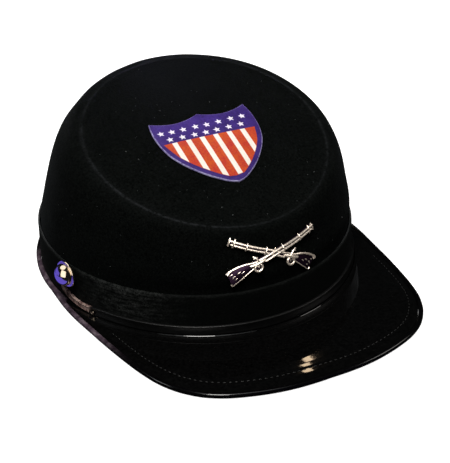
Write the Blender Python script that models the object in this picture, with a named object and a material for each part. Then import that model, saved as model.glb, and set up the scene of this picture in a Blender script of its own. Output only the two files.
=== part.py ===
"""Kepi cap: a soft black felt body with a forward-tilted round top, a ribbon band, a
glossy squared visor, one bound edge round visor and rim, a strap over the visor's root
between two domed brass buttons, a shield applied to the top and a crossed-rifles badge.

Frame: +X the wearer's left, -Y the front, +Z up. The cap rests on z = 0 on its own rim.
Every length below is in millimetres and is turned into metres where a mesh is made.
"""

import math

import bmesh
import bpy
from mathutils import Matrix, Vector

MM = 0.001
GAP = 0.3  # air between neighbouring pieces
ORIGIN_SHIFT = (0.0, 27.25, 0.0)  # from the rim oval's centre to the middle of the box

# ------------------------------------------------------------------ rim and band
FOOT_HALF_WIDTH = 91.8  # rim oval, outside of the bound edge, side to side
FOOT_HALF_LENGTH = 99.0  # the same, front to back
EDGE_HALF_WIDTH = 1.3  # bound edge, half its section across
EDGE_HALF_HEIGHT = 1.4
EDGE_HEIGHT = 1.5  # height of its centre above the table

BAND_THICK = 1.2
BAND_LOW = 0.4
BAND_TOP = 26.0
BAND_FOOT = (88.9, 96.1)  # outer half width and half length at the foot
BAND_HEAD = (89.3, 95.0)  # the same at the top edge

# ------------------------------------------------------------------ felt body
FELT = 2.4
# Outer surface of the felt as leaning ovals, one row for each section, foot to ring:
# where it crosses the middle plane in front and behind, its half width, and its egg
# (+ makes the back wider)
CROWN_ROWS = (
    # name          front_y front_z back_y back_z half_w  egg
    ("foot", -94.3, 0.0, 94.3, 0.0, 87.2, 0.0),
    ("under_band", -93.7, 13.0, 93.7, 13.0, 87.3, 0.0),
    ("band_edge", -93.1, 26.0, 93.1, 26.0, 87.5, 0.0),
    ("low_side", -94.0, 33.8, 86.2, 46.4, 86.5, 0.0),
    ("mid_side", -92.6, 42.7, 77.7, 68.8, 83.7, 0.01),
    ("high_side", -90.9, 50.3, 67.6, 86.5, 80.7, 0.02),
    ("shoulder_low", -89.8, 54.9, 58.6, 96.0, 77.3, 0.03),
    ("shoulder_mid", -88.8, 57.7, 54.2, 100.5, 74.6, 0.035),
    ("shoulder_high", -87.4, 59.3, 51.4, 102.0, 71.8, 0.04),
    ("ring", -85.6, 59.7, 47.6, 101.4, 68.1, 0.035),
)
TOP_RISE = 3.0  # the top disc's middle above its ring
TOP_RINGS = (0.9, 0.72, 0.5, 0.26)  # rings on the disc, as shares of its radius
CROWN_SIDES = 52
CROWN_STEPS = 13

# ------------------------------------------------------------------ visor
VISOR_THICK = 1.4
VISOR_ROOT_Z = 1.4  # mid-surface where it meets the band
VISOR_EDGE_Z = 1.5  # and at its outer edge
VISOR_BULGE = 2.4  # how far the middle of the sheet stands above both
# Outline of the bound edge, both sides alike: angle from the front, reach from the
# rim's centre
VISOR_OUTLINE = (
    # angle  reach
    (0.0, 153.5),
    (10.0, 154.3),
    (20.0, 153.5),
    (25.0, 151.7),
    (30.0, 147.3),
    (35.0, 140.4),
    (40.0, 131.6),
    (45.0, 123.1),
    (50.0, 115.9),
    (55.0, 110.0),
    (60.0, 105.2),
    (65.0, 101.6),
    (70.0, 98.8),
    (75.0, 96.4),
    (80.0, 94.4),
    (85.0, 92.8),
    (90.0, 91.8),
)
VISOR_END = 84.0  # the sheet runs out at this angle on each side
VISOR_COLUMNS = 40
VISOR_ROWS = 5

# ------------------------------------------------------------------ strap and buttons
STRAP_WIDTH = 5.2
STRAP_THICK = 1.5
# Centre line of the right half, laid on the band: angle from the front, height. It runs
# low over the visor's root, passes the button from below and ends under it.
STRAP_LINE = (
    # angle  height
    (0.0, 5.3),
    (30.0, 5.3),
    (50.0, 5.3),
    (62.0, 5.2),
    (68.0, 4.8),
    (73.0, 4.8),
    (78.0, 6.2),
    (81.5, 8.4),
    (82.6, 12.0),
    (81.2, 16.0),
    (78.8, 20.0),
)
STRAP_TAPER = (64.0, 72.0, 0.34)  # from one angle to the other it loses this share of its width
BUTTON_ANGLE = 77.5
LEFT_SET_BACK = 12.5  # degrees by which the strap's left end and its button sit further back
BUTTON_HEIGHT = 22.4
BUTTON_RADIUS = 7.8
BUTTON_DOME = 7.2
SLIDE_ANGLE = 67.0
SLIDE_LENGTH = 3.6
SLIDE_THICK = 0.9

# ------------------------------------------------------------------ shield on the top
SHIELD_THICK = 0.9
SHIELD_TURN = -2.0  # degrees about the disc's normal
SHIELD_CENTRE = (1.7, 17.1)  # middle of its top edge on the disc: across, towards the back
SHIELD_TOP_CUSP = -0.4  # the point between the two scallops, above the corners
SHIELD_SCALLOP = 3.8  # how far each scallop dips below the corners
# right half, from corner to tip: distance below the corners, half width
SHIELD_SIDE = (
    # below  half_width
    (0.0, 29.1),
    (5.0, 30.1),
    (11.0, 30.6),
    (18.0, 30.2),
    (23.0, 29.3),
    (28.0, 27.8),
    (34.5, 24.5),
    (41.0, 19.9),
    (47.5, 14.0),
    (52.5, 8.0),
    (55.0, 4.2),
    (56.4, 0.0),
)

# ------------------------------------------------------------------ badge on the front
BADGE_TURN = -5.0  # degrees, seen from the front, clockwise
BADGE_CENTRE = (0.1, 42.9)  # across, and height
RIFLE_ANGLE = 22.6
# One rifle along its own length, butt to muzzle: station, underside, top, relief
RIFLE_ROWS = (
    # station  under   top   relief
    (-27.0, -4.1, 4.1, 1.5),
    (-21.7, -2.4, 5.1, 1.9),
    (-16.8, -1.0, 5.0, 2.1),
    (-13.0, 0.0, 3.9, 2.1),
    (-9.5, -0.2, 3.9, 2.3),
    (-4.5, -0.1, 3.7, 2.2),
    (3.0, -0.2, 3.3, 1.9),
    (14.0, -1.0, 2.2, 1.8),
    (23.3, -1.5, 1.7, 1.7),
    (23.9, -2.0, 2.3, 2.0),
    (26.9, -2.0, 2.3, 1.9),
)
BADGE_PLATE = 0.7  # thinnest relief at an edge


# ==================================================================== curves by rule
def between(rows, at, column=0):
    """Values of a table at `at`, smoothly through its rows, read by one rising column."""
    keys = [row[column] for row in rows]
    at = min(max(at, keys[0]), keys[-1])
    k = max(i for i in range(len(keys) - 1) if keys[i] <= at + 1e-12)

    def slope(i, c):
        if i == 0 or i == len(keys) - 1:
            j = min(i, len(keys) - 2)
            return (rows[j + 1][c] - rows[j][c]) / (keys[j + 1] - keys[j])
        low = (rows[i][c] - rows[i - 1][c]) / (keys[i] - keys[i - 1])
        high = (rows[i + 1][c] - rows[i][c]) / (keys[i + 1] - keys[i])
        return 0.0 if low * high <= 0 else 2 * low * high / (low + high)

    h = keys[k + 1] - keys[k]
    t = (at - keys[k]) / h
    out = []
    for c in range(len(rows[0])):
        a, b = rows[k][c], rows[k + 1][c]
        m, n = slope(k, c) * h, slope(k + 1, c) * h
        out.append(
            (2 * t**3 - 3 * t**2 + 1) * a
            + (t**3 - 2 * t**2 + t) * m
            + (3 * t**2 - 2 * t**3) * b
            + (t**3 - t**2) * n
        )
    return out


def oval(front_y, front_z, back_y, back_z, half_w, egg, angle):
    """Point of a leaning oval; angle in degrees from the front, + towards +X."""
    t = math.radians(angle - 90.0)
    mid_y, mid_z = (front_y + back_y) / 2, (front_z + back_z) / 2
    return Vector(
        (
            half_w * math.cos(t) * (1 + egg * math.sin(t)),
            mid_y + (back_y - front_y) / 2 * math.sin(t),
            mid_z + (back_z - front_z) / 2 * math.sin(t),
        )
    )


def crown_table():
    """CROWN_ROWS with a first column that says how far along the wall each row is."""
    rows, run, last = [], 0.0, None
    for _, *row in CROWN_ROWS:
        here = oval(*row, 90.0), oval(*row, 0.0), oval(*row, 180.0)
        if last:
            run += sum((a - b).length for a, b in zip(here, last)) / 3
        last = here
        rows.append((run, *row))
    return rows


CROWN_TABLE = crown_table()
CROWN_RUN = CROWN_TABLE[-1][0]


def crown_point(share, angle):
    """Felt's outer surface: share 0 at the foot, 1 at the ring, 2 in the disc's middle."""
    if share <= 1.0:
        return oval(*between(CROWN_TABLE, share * CROWN_RUN)[1:], angle)
    f = 2.0 - share
    centre = ring_centre()
    p = centre + (oval(*CROWN_ROWS[-1][1:], angle) - centre) * f
    return p + top_normal() * TOP_RISE * (1 - f * f)


def ring_centre():
    _, front_y, front_z, back_y, back_z, _, _ = CROWN_ROWS[-1]
    return Vector((0.0, (front_y + back_y) / 2, (front_z + back_z) / 2))


def top_normal():
    _, front_y, front_z, back_y, back_z, _, _ = CROWN_ROWS[-1]
    return Vector((0.0, front_z - back_z, back_y - front_y)).normalized()


def crown_normal(share, angle):
    d = 0.004
    side = crown_point(share, angle + 0.5) - crown_point(share, angle - 0.5)
    # The two sides of the ring have their own slopes, so the step never straddles it.
    low = share - d if not 1.0 < share < 1.0 + d else share
    high = share + d if not 1.0 - d < share <= 1.0 else share
    up = crown_point(min(high, 1.998), angle) - crown_point(max(low, 0.0), angle)
    n = side.cross(up).normalized()
    return n


def band_oval(height, angle, out=0.0):
    """Point on the band's outer face at a height, pushed `out` along its outward normal."""
    f = (height - BAND_LOW) / (BAND_TOP - BAND_LOW)
    a = BAND_FOOT[0] + (BAND_HEAD[0] - BAND_FOOT[0]) * f
    b = BAND_FOOT[1] + (BAND_HEAD[1] - BAND_FOOT[1]) * f
    t = math.radians(angle - 90.0)
    n = Vector((math.cos(t) / a, math.sin(t) / b, 0.0)).normalized()
    return Vector((a * math.cos(t), b * math.sin(t), height)) + n * out


def rim_reach(angle):
    """Outside of the bound edge: the visor's outline in front, the rim's oval behind."""
    angle = abs((angle + 180.0) % 360.0 - 180.0)
    if angle <= 90.0:
        return between(VISOR_OUTLINE, angle)[1]
    c, s = math.cos(math.radians(angle)), math.sin(math.radians(angle))
    return 1 / math.hypot(s / FOOT_HALF_WIDTH, c / FOOT_HALF_LENGTH)


def rim_loop(count, inset):
    """Closed loop of points along the bound edge, evenly spaced and pushed inwards."""
    dense = []
    for i in range(1440):
        a = i * 0.25 - 180.0
        r = rim_reach(a)
        dense.append(
            Vector((r * math.sin(math.radians(a)), -r * math.cos(math.radians(a)), 0.0))
        )
    n = len(dense)
    pushed = []
    for i in range(n):
        t = (dense[(i + 6) % n] - dense[i - 6]).normalized()
        pushed.append(dense[i] + Vector((-t.y, t.x, 0.0)) * inset)
    return even(pushed, count)


def even(points, count):
    """`count` points spaced evenly along a closed line."""
    run = [0.0]
    for i in range(len(points)):
        run.append(run[-1] + (points[(i + 1) % len(points)] - points[i]).length)
    out, j = [], 0
    for i in range(count):
        at = run[-1] * i / count
        while run[j + 1] < at:
            j += 1
        f = (at - run[j]) / (run[j + 1] - run[j])
        out.append(points[j].lerp(points[(j + 1) % len(points)], f))
    return out


# ==================================================================== building
def material(name, colour, roughness, metallic=0.0):
    m = bpy.data.materials.new(name)
    m.use_nodes = True
    bsdf = m.node_tree.nodes["Principled BSDF"]
    bsdf.inputs["Base Color"].default_value = (*colour, 1.0)
    bsdf.inputs["Roughness"].default_value = roughness
    bsdf.inputs["Metallic"].default_value = metallic
    m.diffuse_color = (*colour, 1.0)
    return m


def to_object(name, bm, mat, sharp=40.0, in_place=True):
    bmesh.ops.recalc_face_normals(bm, faces=bm.faces)
    mesh = bpy.data.meshes.new(name)
    if in_place:
        bmesh.ops.translate(bm, vec=Vector(ORIGIN_SHIFT), verts=bm.verts)
    bmesh.ops.scale(bm, vec=Vector((MM, MM, MM)), verts=bm.verts)
    bm.to_mesh(mesh)
    bm.free()
    mesh.shade_smooth()
    mesh.set_sharp_from_angle(angle=math.radians(sharp))
    mesh.materials.append(mat)
    obj = bpy.data.objects.new(name, mesh)
    bpy.context.scene.collection.objects.link(obj)
    return obj


def loft(bm, rings, closed_rings=True, closed_run=False, caps=False):
    """Quads between rows of points. Each ring is a loop (or an open row)."""
    verts = [[bm.verts.new(p) for p in ring] for ring in rings]
    n = len(rings[0])
    pairs = list(zip(verts, verts[1:])) + ([(verts[-1], verts[0])] if closed_run else [])
    for low, high in pairs:
        for i in range(n if closed_rings else n - 1):
            j = (i + 1) % n
            bm.faces.new((low[i], low[j], high[j], high[i]))
    if caps:
        bm.faces.new(verts[0])
        bm.faces.new(list(reversed(verts[-1])))
    return verts


def add_crown(mat):
    angles = [360.0 * i / CROWN_SIDES for i in range(CROWN_SIDES)]
    shares = [i / CROWN_STEPS for i in range(CROWN_STEPS + 1)]
    shares += [2.0 - f for f in TOP_RINGS]
    outer = [[crown_point(s, a) for a in angles] for s in shares]
    inner = []
    for s in shares:
        ring = []
        for a in angles:
            p = crown_point(s, a) - crown_normal(s, a) * FELT
            if s == 0.0:
                p.z = 0.0
            ring.append(p)
        inner.append(ring)
    bm = bmesh.new()
    rows = loft(bm, inner[::-1] + outer)
    for ring, push in ((rows[0], -FELT), (rows[-1], 0.0)):
        middle = bm.verts.new(crown_point(2.0, 0.0) + top_normal() * push)
        for i in range(CROWN_SIDES):
            bm.faces.new((ring[i], ring[(i + 1) % CROWN_SIDES], middle))
    return to_object("crown", bm, mat, 50.0)


def add_band(mat):
    count = 56
    bm = bmesh.new()
    rings = []
    for i in range(count):
        a = 360.0 * i / count
        rings.append(
            [
                band_oval(BAND_LOW, a),
                band_oval(BAND_TOP * 0.5, a, 0.15),
                band_oval(BAND_TOP - 0.3, a),
                band_oval(BAND_TOP, a, -0.4),
                band_oval(BAND_TOP, a, -BAND_THICK),
                band_oval(BAND_LOW, a, -BAND_THICK),
            ]
        )
    loft(bm, rings, closed_run=True)
    return to_object("base_band", bm, mat)


def add_edge(mat):
    count, sides = 96, 6
    line = rim_loop(count, EDGE_HALF_WIDTH)
    bm = bmesh.new()
    rings = []
    for i, p in enumerate(line):
        t = (line[(i + 1) % count] - line[i - 1]).normalized()
        out = Vector((t.y, -t.x, 0.0))
        ring = []
        for k in range(sides):
            c = math.radians(360.0 * k / sides)
            ring.append(
                p
                + out * EDGE_HALF_WIDTH * math.cos(c)
                + Vector((0, 0, EDGE_HEIGHT + EDGE_HALF_HEIGHT * math.sin(c)))
            )
        rings.append(ring)
    loft(bm, rings, closed_run=True)
    return to_object("edge_binding", bm, mat, 60.0)


def visor_outer(angle):
    """Outer edge of the visor's sheet, just inside the bound edge."""
    r0 = rim_reach(angle)
    a = math.radians(angle)
    d = 1.5
    before, after = (
        Vector((rim_reach(angle + s) * math.sin(a + math.radians(s)),
                -rim_reach(angle + s) * math.cos(a + math.radians(s)), 0.0))
        for s in (-d, d)
    )
    t = (after - before).normalized()
    p = Vector((r0 * math.sin(a), -r0 * math.cos(a), 0.0))
    return p + Vector((-t.y, t.x, 0.0)) * (2 * EDGE_HALF_WIDTH + GAP)


def add_visor(mat):
    """Sheet from the band to the bound edge, in columns across and rows outwards."""
    bm = bmesh.new()
    columns = []
    for i in range(VISOR_COLUMNS + 1):
        u = -1 + 2 * i / VISOR_COLUMNS
        angle = VISOR_END * math.sin(u * math.pi / 2) * 0.35 + VISOR_END * u * 0.65
        outer = visor_outer(angle)
        reach = Vector((outer.x, outer.y))
        # foot of the column on the band, under the same angle as the outer end
        inner = band_oval(VISOR_ROOT_Z, visor_root_angle(outer), GAP)
        top, low = [], []
        width = (Vector((inner.x, inner.y)) - reach).length
        for j in range(VISOR_ROWS + 1):
            f = j / VISOR_ROWS
            x, y = inner.x + (outer.x - inner.x) * f, inner.y + (outer.y - inner.y) * f
            z = VISOR_ROOT_Z + (VISOR_EDGE_Z - VISOR_ROOT_Z) * f
            z += VISOR_BULGE * 4 * f * (1 - f) * min(1.0, width / 45.0)
            top.append(Vector((x, y, z + VISOR_THICK / 2)))
            low.append(Vector((x, y, z - VISOR_THICK / 2)))
        columns.append(top + low[::-1])
    loft(bm, columns, caps=True)
    return to_object("visor", bm, mat, 50.0)


def visor_root_angle(outer):
    """Angle on the band whose outward normal points at the outer edge."""
    best, low, high = 0.0, -100.0, 100.0
    for _ in range(40):
        best = (low + high) / 2
        p = band_oval(VISOR_ROOT_Z, best)
        n = band_oval(VISOR_ROOT_Z, best, 1.0) - p
        side = n.x * (outer.y - p.y) - n.y * (outer.x - p.x)
        if side > 0:
            low = best
        else:
            high = best
    return best


def strap_samples():
    """Centre line of the whole strap on the band: (angle, height) pairs, end to end."""
    left = []
    for a, h in STRAP_LINE[1:]:
        share = max(0.0, (a - 50.0) / (STRAP_LINE[-1][0] - 50.0))
        left.append((a + LEFT_SET_BACK * share, h))
    line = [(-a, h) for a, h in reversed(STRAP_LINE)] + left
    points = []
    n = len(line)
    for k in range(n - 1):
        p0, p1, p2, p3 = (line[min(max(k + d, 0), n - 1)] for d in (-1, 0, 1, 2))
        span = math.hypot((p2[0] - p1[0]) * 1.6, p2[1] - p1[1])
        steps = max(2, int(span / 7.5))
        for i in range(steps):
            t = i / steps
            points.append(
                tuple(
                    0.5
                    * (
                        2 * p1[c]
                        + (p2[c] - p0[c]) * t
                        + (2 * p0[c] - 5 * p1[c] + 4 * p2[c] - p3[c]) * t * t
                        + (3 * p1[c] - p0[c] - 3 * p2[c] + p3[c]) * t**3
                    )
                    for c in (0, 1)
                )
            )
    points.append(line[-1])
    return points


def strap_half(angle):
    """Half the strap's width at an angle: it narrows towards the buttons."""
    start, end, loss = STRAP_TAPER
    f = min(max((abs(angle) - start) / (end - start), 0.0), 1.0)
    return STRAP_WIDTH / 2 * (1 - loss * f * f * (3 - 2 * f))


def add_strap(mat):
    points = strap_samples()
    per = math.radians(1.0) * (BAND_FOOT[0] + BAND_FOOT[1]) / 2  # mm for a degree
    rings = []
    n = len(points)
    for i, (a, h) in enumerate(points):
        b, c = points[max(i - 1, 0)], points[min(i + 1, n - 1)]
        t = Vector(((c[0] - b[0]) * per, c[1] - b[1])).normalized()
        ends = min(i, n - 1 - i)
        half = strap_half(a) * (0.55 if ends == 0 else 1.0)
        ring = []
        for side, out in ((1, 0), (1, 0.75), (0.8, 1), (-0.8, 1), (-1, 0.75), (-1, 0)):
            da, dh = -t.y * half * side / per, t.x * half * side
            ring.append(band_oval(h + dh, a + da, GAP + out * STRAP_THICK))
        rings.append(ring)
    bm = bmesh.new()
    loft(bm, rings, caps=True)
    return to_object("chin_strap", bm, mat)


def add_slide(mat):
    """Small brass tab on the strap's face, its outer edges eased."""
    h = between(STRAP_LINE[:6], SLIDE_ANGLE)[1]
    per = math.radians(1.0) * (BAND_FOOT[0] + BAND_FOOT[1]) / 2
    top = h + 0.9
    low = h - 1.7
    face = GAP + STRAP_THICK + GAP
    section = (
        # height, distance out from the band
        (low, face),
        (top, face),
        (top, face + SLIDE_THICK * 0.6),
        (top - 0.4, face + SLIDE_THICK),
        (low + 0.4, face + SLIDE_THICK),
        (low, face + SLIDE_THICK * 0.6),
    )
    bm = bmesh.new()
    rings = []
    for k in range(5):
        a = -SLIDE_ANGLE + (k / 4 - 0.5) * SLIDE_LENGTH / per
        rings.append([band_oval(z, a, d) for z, d in section])
    loft(bm, rings, caps=True)
    return to_object("strap_slide", bm, mat)


def add_button(name, side, mat):
    """Domed button: a turned profile with a rolled rim, closed flat behind."""
    r, dome = BUTTON_RADIUS, BUTTON_DOME
    profile = [(r - 1.0, 0.0), (r - 0.3, 0.25), (r, 0.9), (r - 0.35, 1.6), (r - 1.0, 1.75)]
    for k in range(1, 6):
        c = math.radians(90.0 * k / 6)
        profile.append(((r - 1.0) * math.cos(c), 1.75 + (dome - 1.75) * math.sin(c)))
    bm = bmesh.new()
    count = 20
    rings = [
        [
            Vector(
                (
                    rad * math.cos(2 * math.pi * i / count),
                    rad * math.sin(2 * math.pi * i / count),
                    z,
                )
            )
            for i in range(count)
        ]
        for rad, z in profile
    ]
    rows = loft(bm, rings)
    bm.faces.new(rows[0])
    middle = bm.verts.new((0.0, 0.0, dome))
    for i in range(count):
        bm.faces.new((rows[-1][i], rows[-1][(i + 1) % count], middle))
    obj = to_object(name, bm, mat, in_place=False)
    angle = -BUTTON_ANGLE if side < 0 else BUTTON_ANGLE + LEFT_SET_BACK
    # The back clears the strap's end and the band's curve.
    seat = band_oval(BUTTON_HEIGHT, angle, GAP + STRAP_THICK + GAP + 0.45)
    normal = band_oval(BUTTON_HEIGHT, angle, 1.0) - band_oval(BUTTON_HEIGHT, angle)
    obj.location = (seat + Vector(ORIGIN_SHIFT)) * MM
    obj.rotation_euler = normal.to_track_quat("Z", "Y").to_euler()
    return obj


def disc_frame():
    """Across, back and normal of the top disc, and the ring's centre."""
    normal = top_normal()
    return Vector((1.0, 0.0, 0.0)), Vector((0.0, normal.z, -normal.y)), normal, ring_centre()


def disc_surface(x, y, lift):
    """Point above the top disc's felt, at disc coordinates x, y."""
    across, back, normal, centre = disc_frame()
    _, front_y, front_z, back_y, back_z, half_w, _ = CROWN_ROWS[-1]
    half_len = math.hypot(back_y - front_y, back_z - front_z) / 2
    f2 = (x / half_w) ** 2 + (y / half_len) ** 2
    return centre + across * x + back * y + normal * (TOP_RISE * (1 - f2) + lift)


def shield_outline(steps=6):
    """Outline of the shield in its own plane: x across, y up, 0 at its corners."""
    right = []
    total = 22
    # side, from the corner down to the tip
    for i in range(total):
        below = SHIELD_SIDE[-1][0] * (i / total) ** 0.9
        right.append((between(SHIELD_SIDE, below)[1], -below))
    tip = (0.0, -SHIELD_SIDE[-1][0])
    corner = SHIELD_SIDE[0][1]
    top = []
    # scallop from the cusp out to the corner
    for i in range(steps):
        f = i / steps
        dip = SHIELD_SCALLOP * math.sin(math.pi * f) ** 0.9
        top.append((corner * f, SHIELD_TOP_CUSP * (1 - f) - dip))
    left = [(-x, y) for x, y in reversed(right)]
    top_left = [(-x, y) for x, y in reversed(top[1:])]
    return top + right + [tip] + left + top_left


def add_shield(mat):
    """Thin plate that follows the top's slight dome."""
    outline = shield_outline()
    turn = Matrix.Rotation(math.radians(SHIELD_TURN), 2)
    middle_y = -SHIELD_SIDE[-1][0] * 0.42
    shares = (1.0, 0.62, 0.3)
    bm = bmesh.new()

    def place(x, y, lift):
        p = turn @ Vector((x, y))
        return disc_surface(SHIELD_CENTRE[0] + p.x, SHIELD_CENTRE[1] + p.y, lift)

    def ring(share, lift):
        return [place(x * share, middle_y + (y - middle_y) * share, lift) for x, y in outline]

    low, high = GAP, GAP + SHIELD_THICK
    rings = [ring(s, low) for s in reversed(shares)] + [
        ring(1.0, high - 0.25),
        ring(0.992, high),
    ] + [ring(s, high) for s in shares[1:]]
    rows = loft(bm, rings)
    for row, lift in ((rows[0], low), (rows[-1], high)):
        middle = bm.verts.new(place(0.0, middle_y, lift))
        n = len(row)
        for i in range(n):
            bm.faces.new((row[i], row[(i + 1) % n], middle))
    return to_object("shield_emblem", bm, mat)


def front_wall(x, z, out):
    """Point at height z in front of the crown's front wall, `out` along its normal."""
    share, angle = 0.6, math.degrees(math.atan2(x, 90.0))
    for _ in range(30):
        p = crown_point(share, angle)
        share = min(max(share + (z - p.z) * 0.011, 0.2), 1.0)
        angle += (x - p.x) * 0.5
    p, n = crown_point(share, angle), crown_normal(share, angle)
    return p + n * out


def rifle_solid(direction, lift):
    """Closed relief of one rifle, flat on its back, along x: butt at -, muzzle at +."""
    bm = bmesh.new()
    rings = []
    for station, under, top, relief in RIFLE_ROWS:
        mid = (under + top) / 2
        rings.append(
            [
                Vector((station, under, 0.0)),
                Vector((station, under, BADGE_PLATE)),
                Vector((station, mid - (mid - under) * 0.4, relief)),
                Vector((station, mid + (top - mid) * 0.4, relief)),
                Vector((station, top, BADGE_PLATE)),
                Vector((station, top, 0.0)),
            ]
        )
    loft(bm, rings, caps=True)
    bmesh.ops.recalc_face_normals(bm, faces=bm.faces)
    return bm


def fitting(points, low, high):
    """Extruded outline: trigger guard, hammer, bands."""
    bm = bmesh.new()
    loft(bm, [[Vector((x, y, z)) for x, y in points] for z in (low, high)], caps=True)
    bmesh.ops.recalc_face_normals(bm, faces=bm.faces)
    return bm


def guard_points():
    """Half-round trigger guard below the wrist, as a band with an open eye."""
    outer, inner = [], []
    for k in range(9):
        c = math.radians(180.0 + 180.0 * k / 8)
        outer.append((-9.8 + 3.4 * math.cos(c), 0.1 + 2.6 * math.sin(c)))
        inner.append((-9.8 + 2.3 * math.cos(c), 0.1 + 1.5 * math.sin(c)))
    return outer + inner[::-1]


def rifle_pieces():
    pieces = [rifle_solid(1, 0.0), fitting(guard_points(), 0.0, 1.2)]
    # hammer standing over the lock
    pieces.append(
        fitting([(-11.4, 3.3), (-8.4, 3.3), (-9.0, 5.2), (-10.2, 6.9), (-11.8, 6.2)], 0.0, 1.6)
    )
    for station, low, high in ((6.0, -0.9, 3.4), (17.0, -1.5, 2.3)):  # barrel bands
        pieces.append(
            fitting(
                [(station - 0.7, low), (station + 0.7, low), (station + 0.7, high), (station - 0.7, high)],
                0.0,
                2.1,
            )
        )
    return pieces


def add_badge(mat):
    """Both rifles cut into one relief, then laid round the crown's front wall."""
    parts = []
    for direction in (1, -1):
        for piece in rifle_pieces():
            # the second rifle mirrors the first and passes a little in front of it
            flip = Matrix.Diagonal((direction, 1.0, 1.0, 1.0))
            lean = Matrix.Rotation(math.radians(RIFLE_ANGLE) * direction, 4, "Z")
            turn = Matrix.Rotation(math.radians(BADGE_TURN), 4, "Z")
            bmesh.ops.transform(piece, matrix=turn @ lean @ flip, verts=piece.verts)
            if direction < 0:
                bmesh.ops.reverse_faces(piece, faces=piece.faces)
                for v in piece.verts:
                    v.co.z *= 1.35
            bmesh.ops.recalc_face_normals(piece, faces=piece.faces)
            mesh = bpy.data.meshes.new("badge_piece")
            piece.to_mesh(mesh)
            piece.free()
            obj = bpy.data.objects.new("badge_piece", mesh)
            bpy.context.scene.collection.objects.link(obj)
            parts.append(obj)
    base = parts[0]
    for other in parts[1:]:
        cut = base.modifiers.new("join", "BOOLEAN")
        cut.operation = "UNION"
        cut.object = other
        cut.solver = "EXACT"
    bpy.context.view_layer.update()
    graph = bpy.context.evaluated_depsgraph_get()
    mesh = bpy.data.meshes.new_from_object(base.evaluated_get(graph))
    bm = bmesh.new()
    bm.from_mesh(mesh)
    bpy.data.meshes.remove(mesh)
    for obj in parts:
        old = obj.data
        bpy.data.objects.remove(obj)
        bpy.data.meshes.remove(old)
    bmesh.ops.triangulate(bm, faces=bm.faces)
    bmesh.ops.remove_doubles(bm, verts=bm.verts, dist=0.01)
    bmesh.ops.dissolve_degenerate(bm, dist=0.01, edges=bm.edges)
    for v in bm.verts:
        x, up, out = v.co
        v.co = front_wall(BADGE_CENTRE[0] + x, BADGE_CENTRE[1] + up, GAP + 0.15 + out)
    return to_object("rifles_badge", bm, mat)


def main():
    for obj in list(bpy.data.objects):
        bpy.data.objects.remove(obj, do_unlink=True)
    felt = material("black_felt", (0.012, 0.012, 0.013), 0.95)
    ribbon = material("black_ribbon", (0.014, 0.014, 0.015), 0.6)
    patent = material("black_patent", (0.008, 0.008, 0.009), 0.2)
    edge = material("bound_edge", (0.012, 0.011, 0.015), 0.3)
    strap = material("strap_patent", (0.010, 0.010, 0.010), 0.25)
    brass = material("brass", (0.80, 0.62, 0.36), 0.22, 1.0)
    gilt = material("gilt_badge", (0.88, 0.74, 0.50), 0.28, 1.0)
    enamel = material("shield_print", (0.16, 0.12, 0.48), 0.5)
    add_crown(felt)
    add_band(ribbon)
    add_visor(patent)
    add_edge(edge)
    add_strap(strap)
    add_slide(brass)
    add_button("side_button_r", -1, brass)
    add_button("side_button_l", 1, brass)
    add_shield(enamel)
    add_badge(gilt)


main()
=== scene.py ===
import math
import random

import bmesh
import bpy
import numpy as np
from mathutils import Matrix, Quaternion, Vector


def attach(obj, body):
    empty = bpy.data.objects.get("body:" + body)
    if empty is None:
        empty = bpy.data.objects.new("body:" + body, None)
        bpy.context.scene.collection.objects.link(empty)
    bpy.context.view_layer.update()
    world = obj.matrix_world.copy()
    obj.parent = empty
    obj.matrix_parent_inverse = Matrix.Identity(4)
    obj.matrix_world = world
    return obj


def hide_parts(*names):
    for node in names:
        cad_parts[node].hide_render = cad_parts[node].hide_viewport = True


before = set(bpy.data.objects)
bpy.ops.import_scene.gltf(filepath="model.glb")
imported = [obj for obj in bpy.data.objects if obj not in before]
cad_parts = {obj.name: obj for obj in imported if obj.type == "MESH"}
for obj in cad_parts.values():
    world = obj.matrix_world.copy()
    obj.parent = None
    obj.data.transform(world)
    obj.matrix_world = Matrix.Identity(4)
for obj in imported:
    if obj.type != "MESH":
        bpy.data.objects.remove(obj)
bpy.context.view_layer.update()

# Everything below is worked out in millimetres round the rim oval's centre, as the
# solids are, and is moved and scaled into the row's frame where a mesh is made.
MM = 0.001
GAP = 0.3
ORIGIN_SHIFT = (0.0, 27.25, 0.0)

# ------------------------------------------------------------------ shape of the cap
FOOT_HALF_WIDTH, FOOT_HALF_LENGTH = 91.8, 99.0
EDGE_HALF_WIDTH, EDGE_HALF_HEIGHT, EDGE_HEIGHT = 1.3, 1.4, 1.5
BAND_THICK, BAND_LOW, BAND_TOP = 1.2, 0.4, 26.0
BAND_FOOT, BAND_HEAD = (88.9, 96.1), (89.3, 95.0)
FELT = 2.4
CROWN_ROWS = (
    # name          front_y front_z back_y back_z half_w  egg
    ("foot", -94.3, 0.0, 94.3, 0.0, 87.2, 0.0),
    ("under_band", -93.7, 13.0, 93.7, 13.0, 87.3, 0.0),
    ("band_edge", -93.1, 26.0, 93.1, 26.0, 87.5, 0.0),
    ("low_side", -94.0, 33.8, 86.2, 46.4, 86.5, 0.0),
    ("mid_side", -92.6, 42.7, 77.7, 68.8, 83.7, 0.01),
    ("high_side", -90.9, 50.3, 67.6, 86.5, 80.7, 0.02),
    ("shoulder_low", -89.8, 54.9, 58.6, 96.0, 77.3, 0.03),
    ("shoulder_mid", -88.8, 57.7, 54.2, 100.5, 74.6, 0.035),
    ("shoulder_high", -87.4, 59.3, 51.4, 102.0, 71.8, 0.04),
    ("ring", -85.6, 59.7, 47.6, 101.4, 68.1, 0.035),
)
TOP_RISE = 3.0
VISOR_THICK, VISOR_ROOT_Z, VISOR_EDGE_Z, VISOR_BULGE = 1.4, 1.4, 1.5, 2.4
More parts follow.
